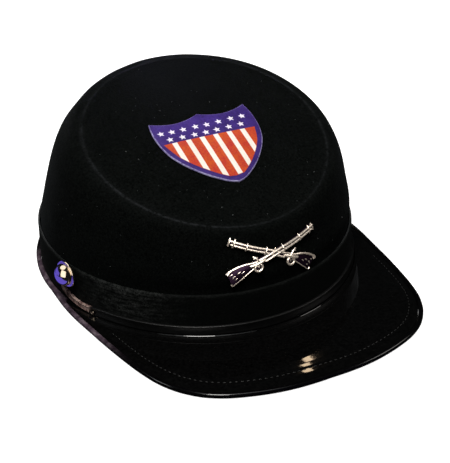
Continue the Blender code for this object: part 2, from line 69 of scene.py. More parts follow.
VISOR_OUTLINE = (
    # angle  reach
    (0.0, 153.5), (10.0, 154.3), (20.0, 153.5), (25.0, 151.7), (30.0, 147.3),
    (35.0, 140.4), (40.0, 131.6), (45.0, 123.1), (50.0, 115.9), (55.0, 110.0),
    (60.0, 105.2), (65.0, 101.6), (70.0, 98.8), (75.0, 96.4), (80.0, 94.4),
    (85.0, 92.8), (90.0, 91.8),
)
VISOR_END = 84.0
STRAP_WIDTH, STRAP_THICK = 5.2, 1.5
STRAP_LINE = (
    # angle  height
    (0.0, 5.3), (30.0, 5.3), (50.0, 5.3), (62.0, 5.2), (68.0, 4.8), (73.0, 4.8),
    (78.0, 6.2), (81.5, 8.4), (82.6, 12.0), (81.2, 16.0), (78.8, 20.0),
)
STRAP_TAPER = (64.0, 72.0, 0.34)
BUTTON_ANGLE, LEFT_SET_BACK, BUTTON_HEIGHT = 77.5, 12.5, 22.4
BUTTON_RADIUS, BUTTON_DOME = 7.8, 7.2
SLIDE_ANGLE, SLIDE_LENGTH, SLIDE_THICK = 67.0, 3.6, 0.9
SHIELD_THICK, SHIELD_TURN, SHIELD_CENTRE = 0.9, -2.0, (1.7, 17.1)
SHIELD_TOP_CUSP, SHIELD_SCALLOP = -0.4, 3.8
SHIELD_SIDE = (
    # below  half_width
    (0.0, 29.1), (5.0, 30.1), (11.0, 30.6), (18.0, 30.2), (23.0, 29.3), (28.0, 27.8),
    (34.5, 24.5), (41.0, 19.9), (47.5, 14.0), (52.5, 8.0), (55.0, 4.2), (56.4, 0.0),
)
BADGE_TURN, BADGE_CENTRE, RIFLE_ANGLE = -5.0, (0.1, 42.9), 22.6


# ==================================================================== curves by rule
def between(rows, at, column=0):
    """Values of a table at `at`, smoothly through its rows, read by one rising column."""
    keys = [row[column] for row in rows]
    at = min(max(at, keys[0]), keys[-1])
    k = max(i for i in range(len(keys) - 1) if keys[i] <= at + 1e-12)

    def slope(i, c):
        if i == 0 or i == len(keys) - 1:
            j = min(i, len(keys) - 2)
            return (rows[j + 1][c] - rows[j][c]) / (keys[j + 1] - keys[j])
        low = (rows[i][c] - rows[i - 1][c]) / (keys[i] - keys[i - 1])
        high = (rows[i + 1][c] - rows[i][c]) / (keys[i + 1] - keys[i])
        return 0.0 if low * high <= 0 else 2 * low * high / (low + high)

    h = keys[k + 1] - keys[k]
    t = (at - keys[k]) / h
    out = []
    for c in range(len(rows[0])):
        a, b = rows[k][c], rows[k + 1][c]
        m, n = slope(k, c) * h, slope(k + 1, c) * h
        out.append(
            (2 * t**3 - 3 * t**2 + 1) * a
            + (t**3 - 2 * t**2 + t) * m
            + (3 * t**2 - 2 * t**3) * b
            + (t**3 - t**2) * n
        )
    return out


def oval(front_y, front_z, back_y, back_z, half_w, egg, angle):
    t = math.radians(angle - 90.0)
    mid_y, mid_z = (front_y + back_y) / 2, (front_z + back_z) / 2
    return Vector(
        (
            half_w * math.cos(t) * (1 + egg * math.sin(t)),
            mid_y + (back_y - front_y) / 2 * math.sin(t),
            mid_z + (back_z - front_z) / 2 * math.sin(t),
        )
    )


def crown_table():
    rows, run, last = [], 0.0, None
    for _, *row in CROWN_ROWS:
        here = oval(*row, 90.0), oval(*row, 0.0), oval(*row, 180.0)
        if last:
            run += sum((a - b).length for a, b in zip(here, last)) / 3
        last = here
        rows.append((run, *row))
    return rows


CROWN_TABLE = crown_table()
CROWN_RUN = CROWN_TABLE[-1][0]
ROW_CACHE = {}


def ring_centre():
    _, front_y, front_z, back_y, back_z, _, _ = CROWN_ROWS[-1]
    return Vector((0.0, (front_y + back_y) / 2, (front_z + back_z) / 2))


def top_normal():
    _, front_y, front_z, back_y, back_z, _, _ = CROWN_ROWS[-1]
    return Vector((0.0, front_z - back_z, back_y - front_y)).normalized()


def crown_point(share, angle):
    """Felt's outer surface: share 0 at the foot, 1 at the ring, 2 in the disc's middle."""
    if share <= 1.0:
        key = round(share, 7)
        if key not in ROW_CACHE:
            ROW_CACHE[key] = between(CROWN_TABLE, key * CROWN_RUN)[1:]
        return oval(*ROW_CACHE[key], angle)
    f = 2.0 - share
    centre = ring_centre()
    p = centre + (oval(*CROWN_ROWS[-1][1:], angle) - centre) * f
    return p + top_normal() * TOP_RISE * (1 - f * f)


def crown_normal(share, angle):
    d = 0.004
    side = crown_point(share, angle + 0.5) - crown_point(share, angle - 0.5)
    low = share - d if not 1.0 < share < 1.0 + d else share
    high = share + d if not 1.0 - d < share <= 1.0 else share
    up = crown_point(min(high, 1.998), angle) - crown_point(max(low, 0.0), angle)
    return side.cross(up).normalized()


def band_oval(height, angle, out=0.0):
    f = (height - BAND_LOW) / (BAND_TOP - BAND_LOW)
    a = BAND_FOOT[0] + (BAND_HEAD[0] - BAND_FOOT[0]) * f
    b = BAND_FOOT[1] + (BAND_HEAD[1] - BAND_FOOT[1]) * f
    t = math.radians(angle - 90.0)
    n = Vector((math.cos(t) / a, math.sin(t) / b, 0.0)).normalized()
    return Vector((a * math.cos(t), b * math.sin(t), height)) + n * out


def rim_reach(angle):
    angle = abs((angle + 180.0) % 360.0 - 180.0)
    if angle <= 90.0:
        return between(VISOR_OUTLINE, angle)[1]
    c, s = math.cos(math.radians(angle)), math.sin(math.radians(angle))
    return 1 / math.hypot(s / FOOT_HALF_WIDTH, c / FOOT_HALF_LENGTH)


def rim_point(angle, inset=0.0):
    """Point on the rim's outline, pushed inwards square to it."""
    a = math.radians(angle)
    d = 1.5
    pts = [
        Vector((rim_reach(angle + s) * math.sin(a + math.radians(s)),
                -rim_reach(angle + s) * math.cos(a + math.radians(s)), 0.0))
        for s in (-d, 0.0, d)
    ]
    t = (pts[2] - pts[0]).normalized()
    return pts[1] + Vector((-t.y, t.x, 0.0)) * inset


def even(points, count, closed=True):
    """`count` points spaced evenly along a line."""
    run = [0.0]
    n = len(points)
    for i in range(n if closed else n - 1):
        run.append(run[-1] + (points[(i + 1) % n] - points[i]).length)
    out, j = [], 0
    for i in range(count):
        at = run[-1] * (i / count if closed else i / (count - 1))
        while j < len(run) - 2 and run[j + 1] < at:
            j += 1
        f = (at - run[j]) / max(run[j + 1] - run[j], 1e-9)
        out.append(points[j].lerp(points[(j + 1) % n], min(max(f, 0.0), 1.0)))
    return out


# ==================================================================== materials
def new_material(name):
    m = bpy.data.materials.new(name)
    m.use_nodes = True
    tree = m.node_tree
    bsdf = tree.nodes["Principled BSDF"]
    return m, tree, bsdf


def node(tree, kind, **values):
    n = tree.nodes.new(kind)
    for key, value in values.items():
        if key.startswith("in_"):
            name = key[3:].replace("_", " ")
            sock = n.inputs[int(name)] if name.isdigit() else n.inputs[name]
            sock.default_value = value
        else:
            setattr(n, key, value)
    return n


def coords(tree, scale=(1.0, 1.0, 1.0), rotation=(0.0, 0.0, 0.0)):
    t = node(tree, "ShaderNodeTexCoord")
    m = node(tree, "ShaderNodeMapping")
    m.inputs["Scale"].default_value = scale
    m.inputs["Rotation"].default_value = rotation
    tree.links.new(t.outputs["Object"], m.inputs["Vector"])
    return m.outputs["Vector"]


def noise(tree, vector, scale, detail=2.0, rough=0.5, distortion=0.0):
    n = node(tree, "ShaderNodeTexNoise", in_Scale=scale, in_Detail=detail, in_Roughness=rough,
             in_Distortion=distortion)
    tree.links.new(vector, n.inputs["Vector"])
    return n.outputs["Fac"]


def ramp(tree, value, stops):
    """stops: (position, (r, g, b)) pairs."""
    r = node(tree, "ShaderNodeValToRGB")
    el = r.color_ramp.elements
    el[0].position, el[0].color = stops[0][0], (*stops[0][1], 1.0)
    el[1].position, el[1].color = stops[-1][0], (*stops[-1][1], 1.0)
    for pos, col in stops[1:-1]:
        e = el.new(pos)
        e.color = (*col, 1.0)
    tree.links.new(value, r.inputs["Fac"])
    return r.outputs["Color"]


def mix(tree, factor, a, b):
    m = node(tree, "ShaderNodeMix", data_type="RGBA")
    for socket, value in ((m.inputs["Factor"], factor), (m.inputs[6], a), (m.inputs[7], b)):
        if isinstance(value, bpy.types.NodeSocket):
            tree.links.new(value, socket)
        elif isinstance(value, tuple):
            socket.default_value = (*value, 1.0)
        else:
            socket.default_value = value
    return m.outputs[2]


def maths(tree, operation, a, b=0.0, c=0.0, clamp=False):
    m = node(tree, "ShaderNodeMath", operation=operation, use_clamp=clamp)
    for i, value in enumerate((a, b, c)):
        if isinstance(value, bpy.types.NodeSocket):
            tree.links.new(value, m.inputs[i])
        else:
            m.inputs[i].default_value = value
    return m.outputs[0]


def bump(tree, bsdf, height, strength, distance, before=None):
    b = node(tree, "ShaderNodeBump", in_Strength=strength, in_Distance=distance)
    tree.links.new(height, b.inputs["Height"])
    if before is not None:
        tree.links.new(before, b.inputs["Normal"])
    tree.links.new(b.outputs["Normal"], bsdf.inputs["Normal"])
    return b.outputs["Normal"]


def attribute(tree, name):
    a = node(tree, "ShaderNodeAttribute", attribute_name=name)
    return a.outputs["Fac"]


def felt_material(name, dark, light):
    """Pressed wool felt: matted fibres in several directions, pale ends here and there."""
    m, tree, bsdf = new_material(name)
    base = coords(tree)
    cloud = noise(tree, base, 60.0, 3.0)
    grain = noise(tree, base, 820.0, 4.0, 0.7)
    fibre_a = noise(tree, coords(tree, (1.0, 0.22, 0.6), (0.3, 0.4, 0.7)), 1400.0, 2.0, 0.6, 0.8)
    fibre_b = noise(tree, coords(tree, (0.25, 1.0, 0.7), (0.8, 0.2, -0.9)), 1400.0, 2.0, 0.6, 0.8)
    fibres = maths(tree, "MAXIMUM", fibre_a, fibre_b)
    value = maths(tree, "ADD", maths(tree, "MULTIPLY", grain, 0.60), maths(tree, "MULTIPLY", fibres, 0.40))
    value = maths(tree, "ADD", value, maths(tree, "MULTIPLY", maths(tree, "SUBTRACT", cloud, 0.5), 0.09))
    colour = ramp(tree, value, [(0.40, dark), (0.54, tuple((p + q) / 2 for p, q in zip(dark, light))), (0.68, light)])
    pale = node(tree, "ShaderNodeTexVoronoi", in_Scale=330.0, in_Randomness=1.0)
    tree.links.new(base, pale.inputs["Vector"])
    near = maths(tree, "LESS_THAN", pale.outputs["Distance"], 0.13)
    pick = node(tree, "ShaderNodeSeparateColor")
    tree.links.new(pale.outputs["Color"], pick.inputs["Color"])
    rare = maths(tree, "GREATER_THAN", pick.outputs[0], 0.955)
    speck = maths(tree, "MULTIPLY", near, rare)
    colour = mix(tree, maths(tree, "MULTIPLY", speck, 0.6), colour, (0.030, 0.033, 0.034))
    rubbed = maths(tree, "MULTIPLY", attribute(tree, "wear"),
                   maths(tree, "MULTIPLY_ADD", noise(tree, base, 330.0, 4.0, 0.7), 3.4, -1.15, clamp=True))
    colour = mix(tree, rubbed, colour, (0.021, 0.023, 0.025))
    tree.links.new(colour, bsdf.inputs["Base Color"])
    bsdf.inputs["Roughness"].default_value = 0.95
    bsdf.inputs["Specular IOR Level"].default_value = 0.015
    bsdf.inputs["Sheen Weight"].default_value = 0.008
    bsdf.inputs["Sheen Roughness"].default_value = 0.35
    bsdf.inputs["Sheen Tint"].default_value = (0.80, 0.90, 1.0, 1.0)
    coarse = bump(tree, bsdf, noise(tree, base, 260.0, 3.0), 0.22, 0.0005)
    bump(tree, bsdf, value, 0.8, 0.0005, coarse)
    return m


def ribbon_material(name):
    """Close-woven band: fine upright ribs crossed by the weave, with a painted sheen on its right front."""
    m, tree, bsdf = new_material(name)
    base = coords(tree)
    along, height = attribute(tree, "along"), attribute(tree, "height")
    rib = maths(tree, "SINE", maths(tree, "MULTIPLY", along, 2 * math.pi / 0.75))
    rows = maths(tree, "SINE", maths(tree, "MULTIPLY", height, 2 * math.pi / 0.55))
    weave = maths(tree, "MULTIPLY_ADD", rib, 0.5, maths(tree, "MULTIPLY", rows, 0.3))
    fuzz = noise(tree, base, 1150.0, 3.0, 0.65)
    cloud = noise(tree, base, 110.0, 4.0)
    colour = ramp(tree, maths(tree, "MULTIPLY_ADD", weave, 0.10, fuzz),
                  [(0.34, (0.0010, 0.0013, 0.0012)), (0.72, (0.0042, 0.0052, 0.0048))])
    # painted sheen patch: streaks along the band, thickest by its upper edge
    flat = node(tree, "ShaderNodeCombineXYZ")
    tree.links.new(maths(tree, "MULTIPLY", along, 0.26), flat.inputs[0])
    tree.links.new(height, flat.inputs[1])
    streak = noise(tree, flat.outputs[0], 0.55, 3.0, 0.6)
    speck = noise(tree, base, 900.0, 4.0, 0.8)
    painted_sheen = maths(tree, "MULTIPLY", attribute(tree, "rubbed"),
                maths(tree, "MULTIPLY_ADD", streak, 3.2, -1.15, clamp=True))
    painted_sheen = maths(tree, "MULTIPLY", painted_sheen, maths(tree, "MULTIPLY_ADD", speck, 4.5, -1.75, clamp=True))
    # pale grey painted sheen laid over the weave's colour
    colour = mix(tree, painted_sheen, colour, (0.058, 0.062, 0.060))
    tree.links.new(colour, bsdf.inputs["Base Color"])
    rough = maths(tree, "MULTIPLY_ADD", cloud, 0.22, 0.50)
    tree.links.new(rough, bsdf.inputs["Roughness"])
    bsdf.inputs["Specular IOR Level"].default_value = 0.04
    bsdf.inputs["Sheen Weight"].default_value = 0.003
    bsdf.inputs["Sheen Roughness"].default_value = 0.4
    bump(tree, bsdf, maths(tree, "MULTIPLY_ADD", weave, 0.35, fuzz), 0.5, 0.00025)
    return m


def patent_material(name, colour=(0.0015, 0.0015, 0.0015), rough=0.03, grain=0.012, worn=False):
    """Lacquered patent: smooth, deep black, with a faint leather grain under the gloss."""
    m, tree, bsdf = new_material(name)
    base = coords(tree)
    cells = node(tree, "ShaderNodeTexVoronoi", in_Scale=620.0)
    tree.links.new(base, cells.inputs["Vector"])
    tone = ramp(tree, noise(tree, base, 640.0, 4.0, 0.7),
                [(0.35, tuple(c * 0.3 for c in colour)), (0.72, tuple(c * 2.4 for c in colour))])
    scuff = maths(tree, "MULTIPLY_ADD", noise(tree, base, 180.0, 5.0, 0.7), 0.3 * rough, 0.85 * rough)
    if worn:
        # painted light: a stretch of the bound edge is coloured brown and greyish lavender, standing for the edge lit
        # from the left
        patch = noise(tree, base, 230.0, 4.0, 0.7)
        shade = ramp(tree, patch, [(0.34, (0.020, 0.010, 0.016)), (0.48, (0.066, 0.042, 0.062)), (0.64, (0.165, 0.128, 0.150))])
        amount = attribute(tree, "worn")
        tone = mix(tree, amount, tone, shade)
        scuff = maths(tree, "MULTIPLY_ADD", amount, 0.38, scuff)
    tree.links.new(tone, bsdf.inputs["Base Color"])
    tree.links.new(scuff, bsdf.inputs["Roughness"])
    bsdf.inputs["Specular IOR Level"].default_value = 0.5
    soft = bump(tree, bsdf, noise(tree, base, 70.0, 2.0), 0.009, 0.0008)
    bump(tree, bsdf, cells.outputs["Distance"], grain, 0.00010, soft)
    return m


def metal_material(name, bright, dark, rough, tarnish=0.35, metallic=1.0):
    """Gilt brass: colour and gloss vary a little, darker where it isn't rubbed."""
    m, tree, bsdf = new_material(name)
    base = coords(tree)
    spots = noise(tree, base, 520.0, 4.0, 0.6)
    colour = mix(tree, maths(tree, "MULTIPLY", spots, tarnish), bright, dark)
    tree.links.new(colour, bsdf.inputs["Base Color"])
    bsdf.inputs["Metallic"].default_value = metallic
    tree.links.new(maths(tree, "MULTIPLY_ADD", spots, 0.10, rough - 0.04), bsdf.inputs["Roughness"])
    bump(tree, bsdf, noise(tree, base, 900.0, 3.0), 0.08, 0.0001)
    return m


def print_material(name, low, high, rough=0.42):
    """Printed face: ink with a fine screen grain and a soft satin."""
    m, tree, bsdf = new_material(name)
    base = coords(tree)
    n = noise(tree, base, 900.0, 3.0, 0.6)
    cloud = noise(tree, base, 130.0, 2.0)
    value = maths(tree, "MULTIPLY_ADD", n, 0.6, maths(tree, "MULTIPLY", cloud, 0.4))
    tree.links.new(ramp(tree, value, [(0.36, low), (0.64, high)]), bsdf.inputs["Base Color"])
    bsdf.inputs["Roughness"].default_value = rough
    bsdf.inputs["Specular IOR Level"].default_value = 0.12
    bump(tree, bsdf, n, 0.25, 0.0001)
    return m


def thread_material(name, colour):
    m, tree, bsdf = new_material(name)
    base = coords(tree)
    twist = noise(tree, base, 2600.0, 2.0)
    tree.links.new(ramp(tree, twist, [(0.3, tuple(c * 0.5 for c in colour)), (0.7, colour)]),
                   bsdf.inputs["Base Color"])
    bsdf.inputs["Roughness"].default_value = 0.45
    bump(tree, bsdf, twist, 0.4, 0.0001)
    return m


# ==================================================================== meshes
def to_object(name, verts, faces, mats, sharp=40.0, face_mats=None, floats=None):
    """verts in millimetres. floats: {attribute name: one number for each vertex}."""
    mesh = bpy.data.meshes.new(name)
    shift = Vector(ORIGIN_SHIFT)
    mesh.from_pydata([tuple((Vector(v) + shift) * MM) for v in verts], [], faces)
    mesh.validate()
    mesh.update()
    for key, values in (floats or {}).items():
        layer = mesh.attributes.new(key, "FLOAT", "POINT")
        layer.data.foreach_set("value", values)
    for m in mats:
        mesh.materials.append(m)
    if face_mats:
        mesh.polygons.foreach_set("material_index", face_mats)
    mesh.shade_smooth()
    mesh.set_sharp_from_angle(angle=math.radians(sharp))
    obj = bpy.data.objects.new(name, mesh)
    bpy.context.scene.collection.objects.link(obj)
    return obj


class Shell:
    """Collects rings of points into one mesh."""

    def __init__(self):
        self.verts, self.faces, self.mats = [], [], []
        self.floats = {}

    def add(self, points):
        start = len(self.verts)
        self.verts += [Vector(p) for p in points]
        return list(range(start, len(self.verts)))

    def face(self, ids, mat=0):
        self.faces.append(tuple(ids))
        self.mats.append(mat)

    def loft(self, rings, closed_ring=True, closed_run=False, caps=False, mat=0):
        ids = [self.add(r) for r in rings]
        n = len(rings[0])
        pairs = list(zip(ids, ids[1:])) + ([(ids[-1], ids[0])] if closed_run else [])
        for low, high in pairs:
            for i in range(n if closed_ring else n - 1):
                j = (i + 1) % n
                self.face((low[i], low[j], high[j], high[i]), mat)
        if caps:
            self.face(ids[0][::-1], mat)
            self.face(ids[-1], mat)
        return ids

    def fan(self, ring, point, mat=0, flip=False):
        (m,) = self.add([point])
        for i in range(len(ring)):
            j = (i + 1) % len(ring)
            self.face((ring[j], ring[i], m) if flip else (ring[i], ring[j], m), mat)

    def done(self, name, mats, sharp=40.0, floats=None, outward=True):
        obj = to_object(name, self.verts, self.faces, mats, sharp, self.mats, floats)
        if outward:
            bm = bmesh.new()
            bm.from_mesh(obj.data)
            bmesh.ops.recalc_face_normals(bm, faces=bm.faces)
            bm.to_mesh(obj.data)
            bm.free()
            obj.data.set_sharp_from_angle(angle=math.radians(sharp))
        return obj


def place(obj, *nodes, slot=None):
    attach(obj, "root")
    if nodes:
        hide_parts(*nodes)
    return obj


def wobble(p, seed, size):
    """Slow, smooth unevenness of pressed felt, from -1 to 1."""
    x, y, z = p.x / size, p.y / size, p.z / size
    return (
        math.sin(1.3 * x + 0.7 * y + seed)
        + math.sin(-0.8 * x + 1.1 * z + 1.7 * seed)
        + math.sin(0.9 * y - 1.4 * z + 2.3 * seed)
        + math.sin(1.9 * x + 1.3 * y - 0.6 * z + 0.7 * seed)
    ) / 4


RING_WEAR = (
    # angle  strength
    (-180.0, 0.35), (-140.0, 0.40), (-105.0, 0.55), (-80.0, 0.90), (-50.0, 1.0), (-20.0, 0.75),
    (5.0, 0.40), (30.0, 0.35), (60.0, 0.50), (100.0, 0.55), (140.0, 0.45), (180.0, 0.35),
)


LINT = (
    # share  angle
    (1.55, -150.0), (1.30, -95.0), (1.35, -85.0), (1.60, 150.0), (1.08, 45.0), (1.20, -20.0),
    (1.12, -15.0), (0.55, 40.0),
)


def ring_wear(angle):
    return between(RING_WEAR, (angle + 180.0) % 360.0 - 180.0)[1]


def add_crown(felt):
    """Felt body: smooth wall and shoulder, a rubbed ridge round the top disc."""
    sides = 200
    steps = [i / 76 for i in range(77)]
    steps += [1.0 + 0.006 * k for k in range(1, 5)]
    steps += [1.0 + 0.024 + (0.976 - 0.02) * (k / 26) for k in range(1, 27)]
    angles = [360.0 * i / sides for i in range(sides)]
    run_disc = 68.0
    outer, wear = [], []
    for s in steps:
        off_ring = (s - 1.0) * (CROWN_RUN if s < 1 else run_disc)
        ridge = 0.35 * math.exp(-((off_ring / 1.5) ** 2)) - 0.22 * math.exp(-(((off_ring - 3.2) / 1.8) ** 2))
        for a in angles:
            p = crown_point(s, a)
            lift = ridge
            free = min(1.0, max(0.0, (p.z - 27.5) / 6.0))
            lift += free * (0.30 * wobble(p, 0.4, 17.0) + 0.12 * wobble(p, 2.1, 6.0))
            if s <= 0.02:
                lift = 0.0
            outer.append(p + crown_normal(s, a) * lift)
            wear.append(ring_wear(a) * (math.exp(-((off_ring / 0.75) ** 2)) + 0.10 * math.exp(-((off_ring / 4.0) ** 2))))
    inner_steps = [i / 30 for i in range(31)] + [1.12, 1.3, 1.5, 1.7, 1.88]
    shell = Shell()
    rings_in = []
    for s in inner_steps:
        ring = []
        for a in angles:
            p = crown_point(s, a) - crown_normal(s, a) * FELT
            if s == 0.0:
                p.z = 0.0
            ring.append(p)
        rings_in.append(ring)
    rings_out = [outer[k * sides:(k + 1) * sides] for k in range(len(steps))]
    ids = shell.loft(rings_in[::-1] + rings_out)
    shell.fan(ids[0], crown_point(2.0, 0.0) - top_normal() * FELT, flip=True)
    shell.fan(ids[-1], crown_point(2.0, 0.0))
    count_in = len(inner_steps) * sides
    values = [0.0] * count_in + wear + [0.0, 0.0]
    return place(shell.done("crown_felt", [felt], 60.0, {"wear": values}), "crown", slot="black_felt")


def add_band(ribbon):
    """Ribbon band with soft turned edges."""
    count = 260
    section = (
        # height, out
        (BAND_LOW, -BAND_THICK), (BAND_LOW, -0.5), (BAND_LOW + 0.25, -0.12), (BAND_LOW + 0.9, 0.0),
        (4.0, 0.04), (8.0, 0.10), (12.0, 0.14), (16.0, 0.12), (20.0, 0.06), (23.5, 0.0),
        (24.6, 0.02), (25.3, -0.05), (25.75, -0.3), (26.0, -0.7), (26.0, -BAND_THICK),
        (14.0, -BAND_THICK),
    )
    shell = Shell()
    rings, along, height, rubbed = [], [], [], []
    for i in range(count):
        a = 360.0 * i / count
        ring = []
        for z, out in section:
            p = band_oval(z, a, out)
            if -0.5 < out:
                p = band_oval(z, a, out + 0.07 * wobble(p, 1.2, 9.0))
            ring.append(p)
            along.append(math.radians(a) * 92.5)
            height.append(z)
            # painted sheen mask: a streaked patch on the right front and a faint light line along the top edge all
            # round
            signed = (a + 180.0) % 360.0 - 180.0
            across = 0.45 + 0.55 * math.exp(-(((z - 24.0) / 3.0) ** 2)) + 0.35 * math.exp(-(((z - 14.0) / 4.0) ** 2))
            rubbed.append(across * math.exp(-(((signed + 55.0) / 15.0) ** 2)) + 0.15 * math.exp(-(((z - 25.0) / 1.2) ** 2)))
        rings.append(ring)
    shell.loft(rings, closed_run=True)
    return place(shell.done("band_ribbon", [ribbon], 50.0, {"along": along, "height": height, "rubbed": rubbed}),
                 "base_band", slot="black_ribbon")


def visor_root_angle(outer):
    best, low, high = 0.0, -100.0, 100.0
    for _ in range(40):
        best = (low + high) / 2
        p = band_oval(VISOR_ROOT_Z, best)
        n = band_oval(VISOR_ROOT_Z, best, 1.0) - p
        if n.x * (outer.y - p.y) - n.y * (outer.x - p.x) > 0:
            low = best
        else:
            high = best
    return best


def visor_columns(count):
    columns = []
    for i in range(count + 1):
        u = -1 + 2 * i / count
        angle = VISOR_END * math.sin(u * math.pi / 2) * 0.35 + VISOR_END * u * 0.65
        outer = rim_point(angle, 2 * EDGE_HALF_WIDTH + GAP)
        inner = band_oval(VISOR_ROOT_Z, visor_root_angle(outer), GAP)
        inner.z = outer.z = 0.0
        columns.append((inner, outer))
    return columns


def visor_middle(inner, outer, f):
    """Middle of the sheet, f 0 at the band and 1 at the bound edge."""
    width = (outer - inner).length
    p = inner.lerp(outer, f)
    z = VISOR_ROOT_Z + (VISOR_EDGE_Z - VISOR_ROOT_Z) * f
    z += VISOR_BULGE * 4 * f * (1 - f) * min(1.0, width / 45.0)
    return Vector((p.x, p.y, z))


STITCH_INSET = (
    # angle  from_edge
    (-84.0, 5.0), (-60.0, 5.6), (-45.0, 6.3), (-30.0, 7.6), (-10.0, 7.6), (8.0, 6.9),
    (20.0, 6.2), (32.0, 5.2), (42.0, 4.4), (60.0, 4.6), (84.0, 5.0),
)


def visor_rows(width):
    """Distances from the band: close together on the root's piping, evenly spaced beyond it."""
    near = [0.0, 0.5, 1.0, 1.3, 1.5, 1.7, 1.85, 2.0, 2.15, 2.3, 2.45, 2.6, 2.8, 3.1, 3.6]
    count = 44
    far = [3.6 + (max(width, 4.2) - 3.6) * (i / count) for i in range(1, count + 1)]
    rows = near + far
    scale = width / rows[-1]
    return [r * scale for r in rows]


def add_visor(patent, thread):
    shell = Shell()
    columns = visor_columns(170)
    rings = []
    half = VISOR_THICK / 2
    for inner, outer in columns:
        width = (outer - inner).length
        angle = math.degrees(math.atan2(outer.x, -outer.y))
        stitch = between(STITCH_INSET, angle)[1]
        top, low = [], []
        for d in visor_rows(width):
            p = visor_middle(inner, outer, d / width)
            from_edge = width - d
            # the sewn line pulls the surface in a little, the root has a slim piping
            groove = 0.14 * math.exp(-(((from_edge - stitch) / 0.7) ** 2)) if width > 16 else 0.0
            piping = 0.46 * math.exp(-(((d - 2.1) / 0.36) ** 2)) if width > 9 else 0.0
            top.append(p + Vector((0, 0, half - groove + piping)))
            low.append(p - Vector((0, 0, half)))
        rings.append(top + low[::-1])
    shell.loft(rings, caps=True)
    visor = place(shell.done("visor_patent", [patent], 60.0), "visor", slot="black_patent")
    # stitches: one row of short threads sunk in the groove
    line = []
    for inner, outer in columns:
        width = (outer - inner).length
        stitch = between(STITCH_INSET, math.degrees(math.atan2(outer.x, -outer.y)))[1]
        if width > 16:
            line.append(visor_middle(inner, outer, 1 - stitch / width) + Vector((0, 0, half - 0.10)))
    total = sum((b - a).length for a, b in zip(line, line[1:]))
    pitch, thread_len = 3.1, 2.2
    count = int(total / pitch)
    dense = even(line, count * 8 + 1, closed=False)
    shell = Shell()
    for k in range(count):
        a, b = k * 8, k * 8 + int(8 * thread_len / pitch)
        path = dense[a:b + 1]
        rings = []
        for i, p in enumerate(path):
            t = (path[min(i + 1, len(path) - 1)] - path[max(i - 1, 0)]).normalized()
            side = Vector((-t.y, t.x, 0)).normalized()
            up = Vector((0, 0, 1))
            f = i / (len(path) - 1)
            arch = math.sin(math.pi * f)
            r = 0.26 * (0.35 + 0.65 * arch ** 0.5)
            c = p + up * (0.22 * arch - 0.16)
            rings.append([c + (side * math.cos(q) + up * math.sin(q)) * r
                          for q in (math.tau * j / 7 for j in range(7))])
        shell.loft(rings, caps=True)
    stitches = place(shell.done("visor_stitches", [thread], 60.0), slot="black_patent")
    return visor, stitches


def add_edge(patent, tape):
    """Rolled binding round the visor, running on round the back."""
    count = 420
    dense = []
    for i in range(1440):
        dense.append(rim_point(i * 0.25 - 180.0, EDGE_HALF_WIDTH))
    line = even(dense, count)
    shell = Shell()
    rings, worn = [], []
    for i, p in enumerate(line):
        t = (line[(i + 1) % count] - line[i - 1]).normalized()
        out = Vector((t.y, -t.x, 0.0))
        ring = []
        angle = math.degrees(math.atan2(p.x, -p.y))
        foot = min((band_oval(EDGE_HEIGHT, angle + d, 0.0) for d in (-3.0, -1.5, 0.0, 1.5, 3.0)),
                   key=lambda q: (Vector((q.x, q.y, 0.0)) - Vector((p.x, p.y, 0.0))).length)
        room = ((Vector((foot.x, foot.y, 0.0)) - Vector((p.x, p.y, 0.0))).length - 0.04) / 0.985 - EDGE_HALF_WIDTH
        tuck = min(max(room, 0.0), 0.22) if room > 3.0 else max(room, 0.0)
        for k in range(16):
            c = math.tau * (k + 0.5) / 16
            x, z = math.cos(c), math.sin(c)
            # a rolled section, a little squarer than round
            x = math.copysign(abs(x) ** 0.8, x)
            z = math.copysign(abs(z) ** 0.8, z)
            inward = tuck * max(0.0, -x)
            ring.append(p + out * (EDGE_HALF_WIDTH * x - inward) + Vector((0, 0, EDGE_HEIGHT + EDGE_HALF_HEIGHT * z)))
        rings.append(ring)
        # painted light mask: the bound edge's right side round angle -84, fading out past 26 degrees either way
        worn += [math.exp(-(max(0.0, abs(angle + 84.0) - 26.0) / 7.0) ** 2)] * 16
    shell.loft(rings, closed_run=True)
    obj = shell.done("bound_edge_roll", [patent], 60.0, {"worn": worn})
    return place(obj, "edge_binding", slot="bound_edge")


def strap_points(per_span):
    left = []
    for a, h in STRAP_LINE[1:]:
        share = max(0.0, (a - 50.0) / (STRAP_LINE[-1][0] - 50.0))
        left.append((a + LEFT_SET_BACK * share, h))
    line = [(-a, h) for a, h in reversed(STRAP_LINE)] + left
    points = []
    n = len(line)
    for k in range(n - 1):
        p0, p1, p2, p3 = (line[min(max(k + d, 0), n - 1)] for d in (-1, 0, 1, 2))
        span = math.hypot((p2[0] - p1[0]) * 1.6, p2[1] - p1[1])
        steps = max(3, int(span / per_span))
        for i in range(steps):
            t = i / steps
            points.append(tuple(
                0.5 * (2 * p1[c] + (p2[c] - p0[c]) * t
                       + (2 * p0[c] - 5 * p1[c] + 4 * p2[c] - p3[c]) * t * t
                       + (3 * p1[c] - p0[c] - 3 * p2[c] + p3[c]) * t**3)
                for c in (0, 1)
            ))
    points.append(line[-1])
    return points


def strap_half(angle):
    """Half the strap's width at an angle: it narrows towards the buttons."""
    start, end, loss = STRAP_TAPER
    f = min(max((abs(angle) - start) / (end - start), 0.0), 1.0)
    return STRAP_WIDTH / 2 * (1 - loss * f * f * (3 - 2 * f))


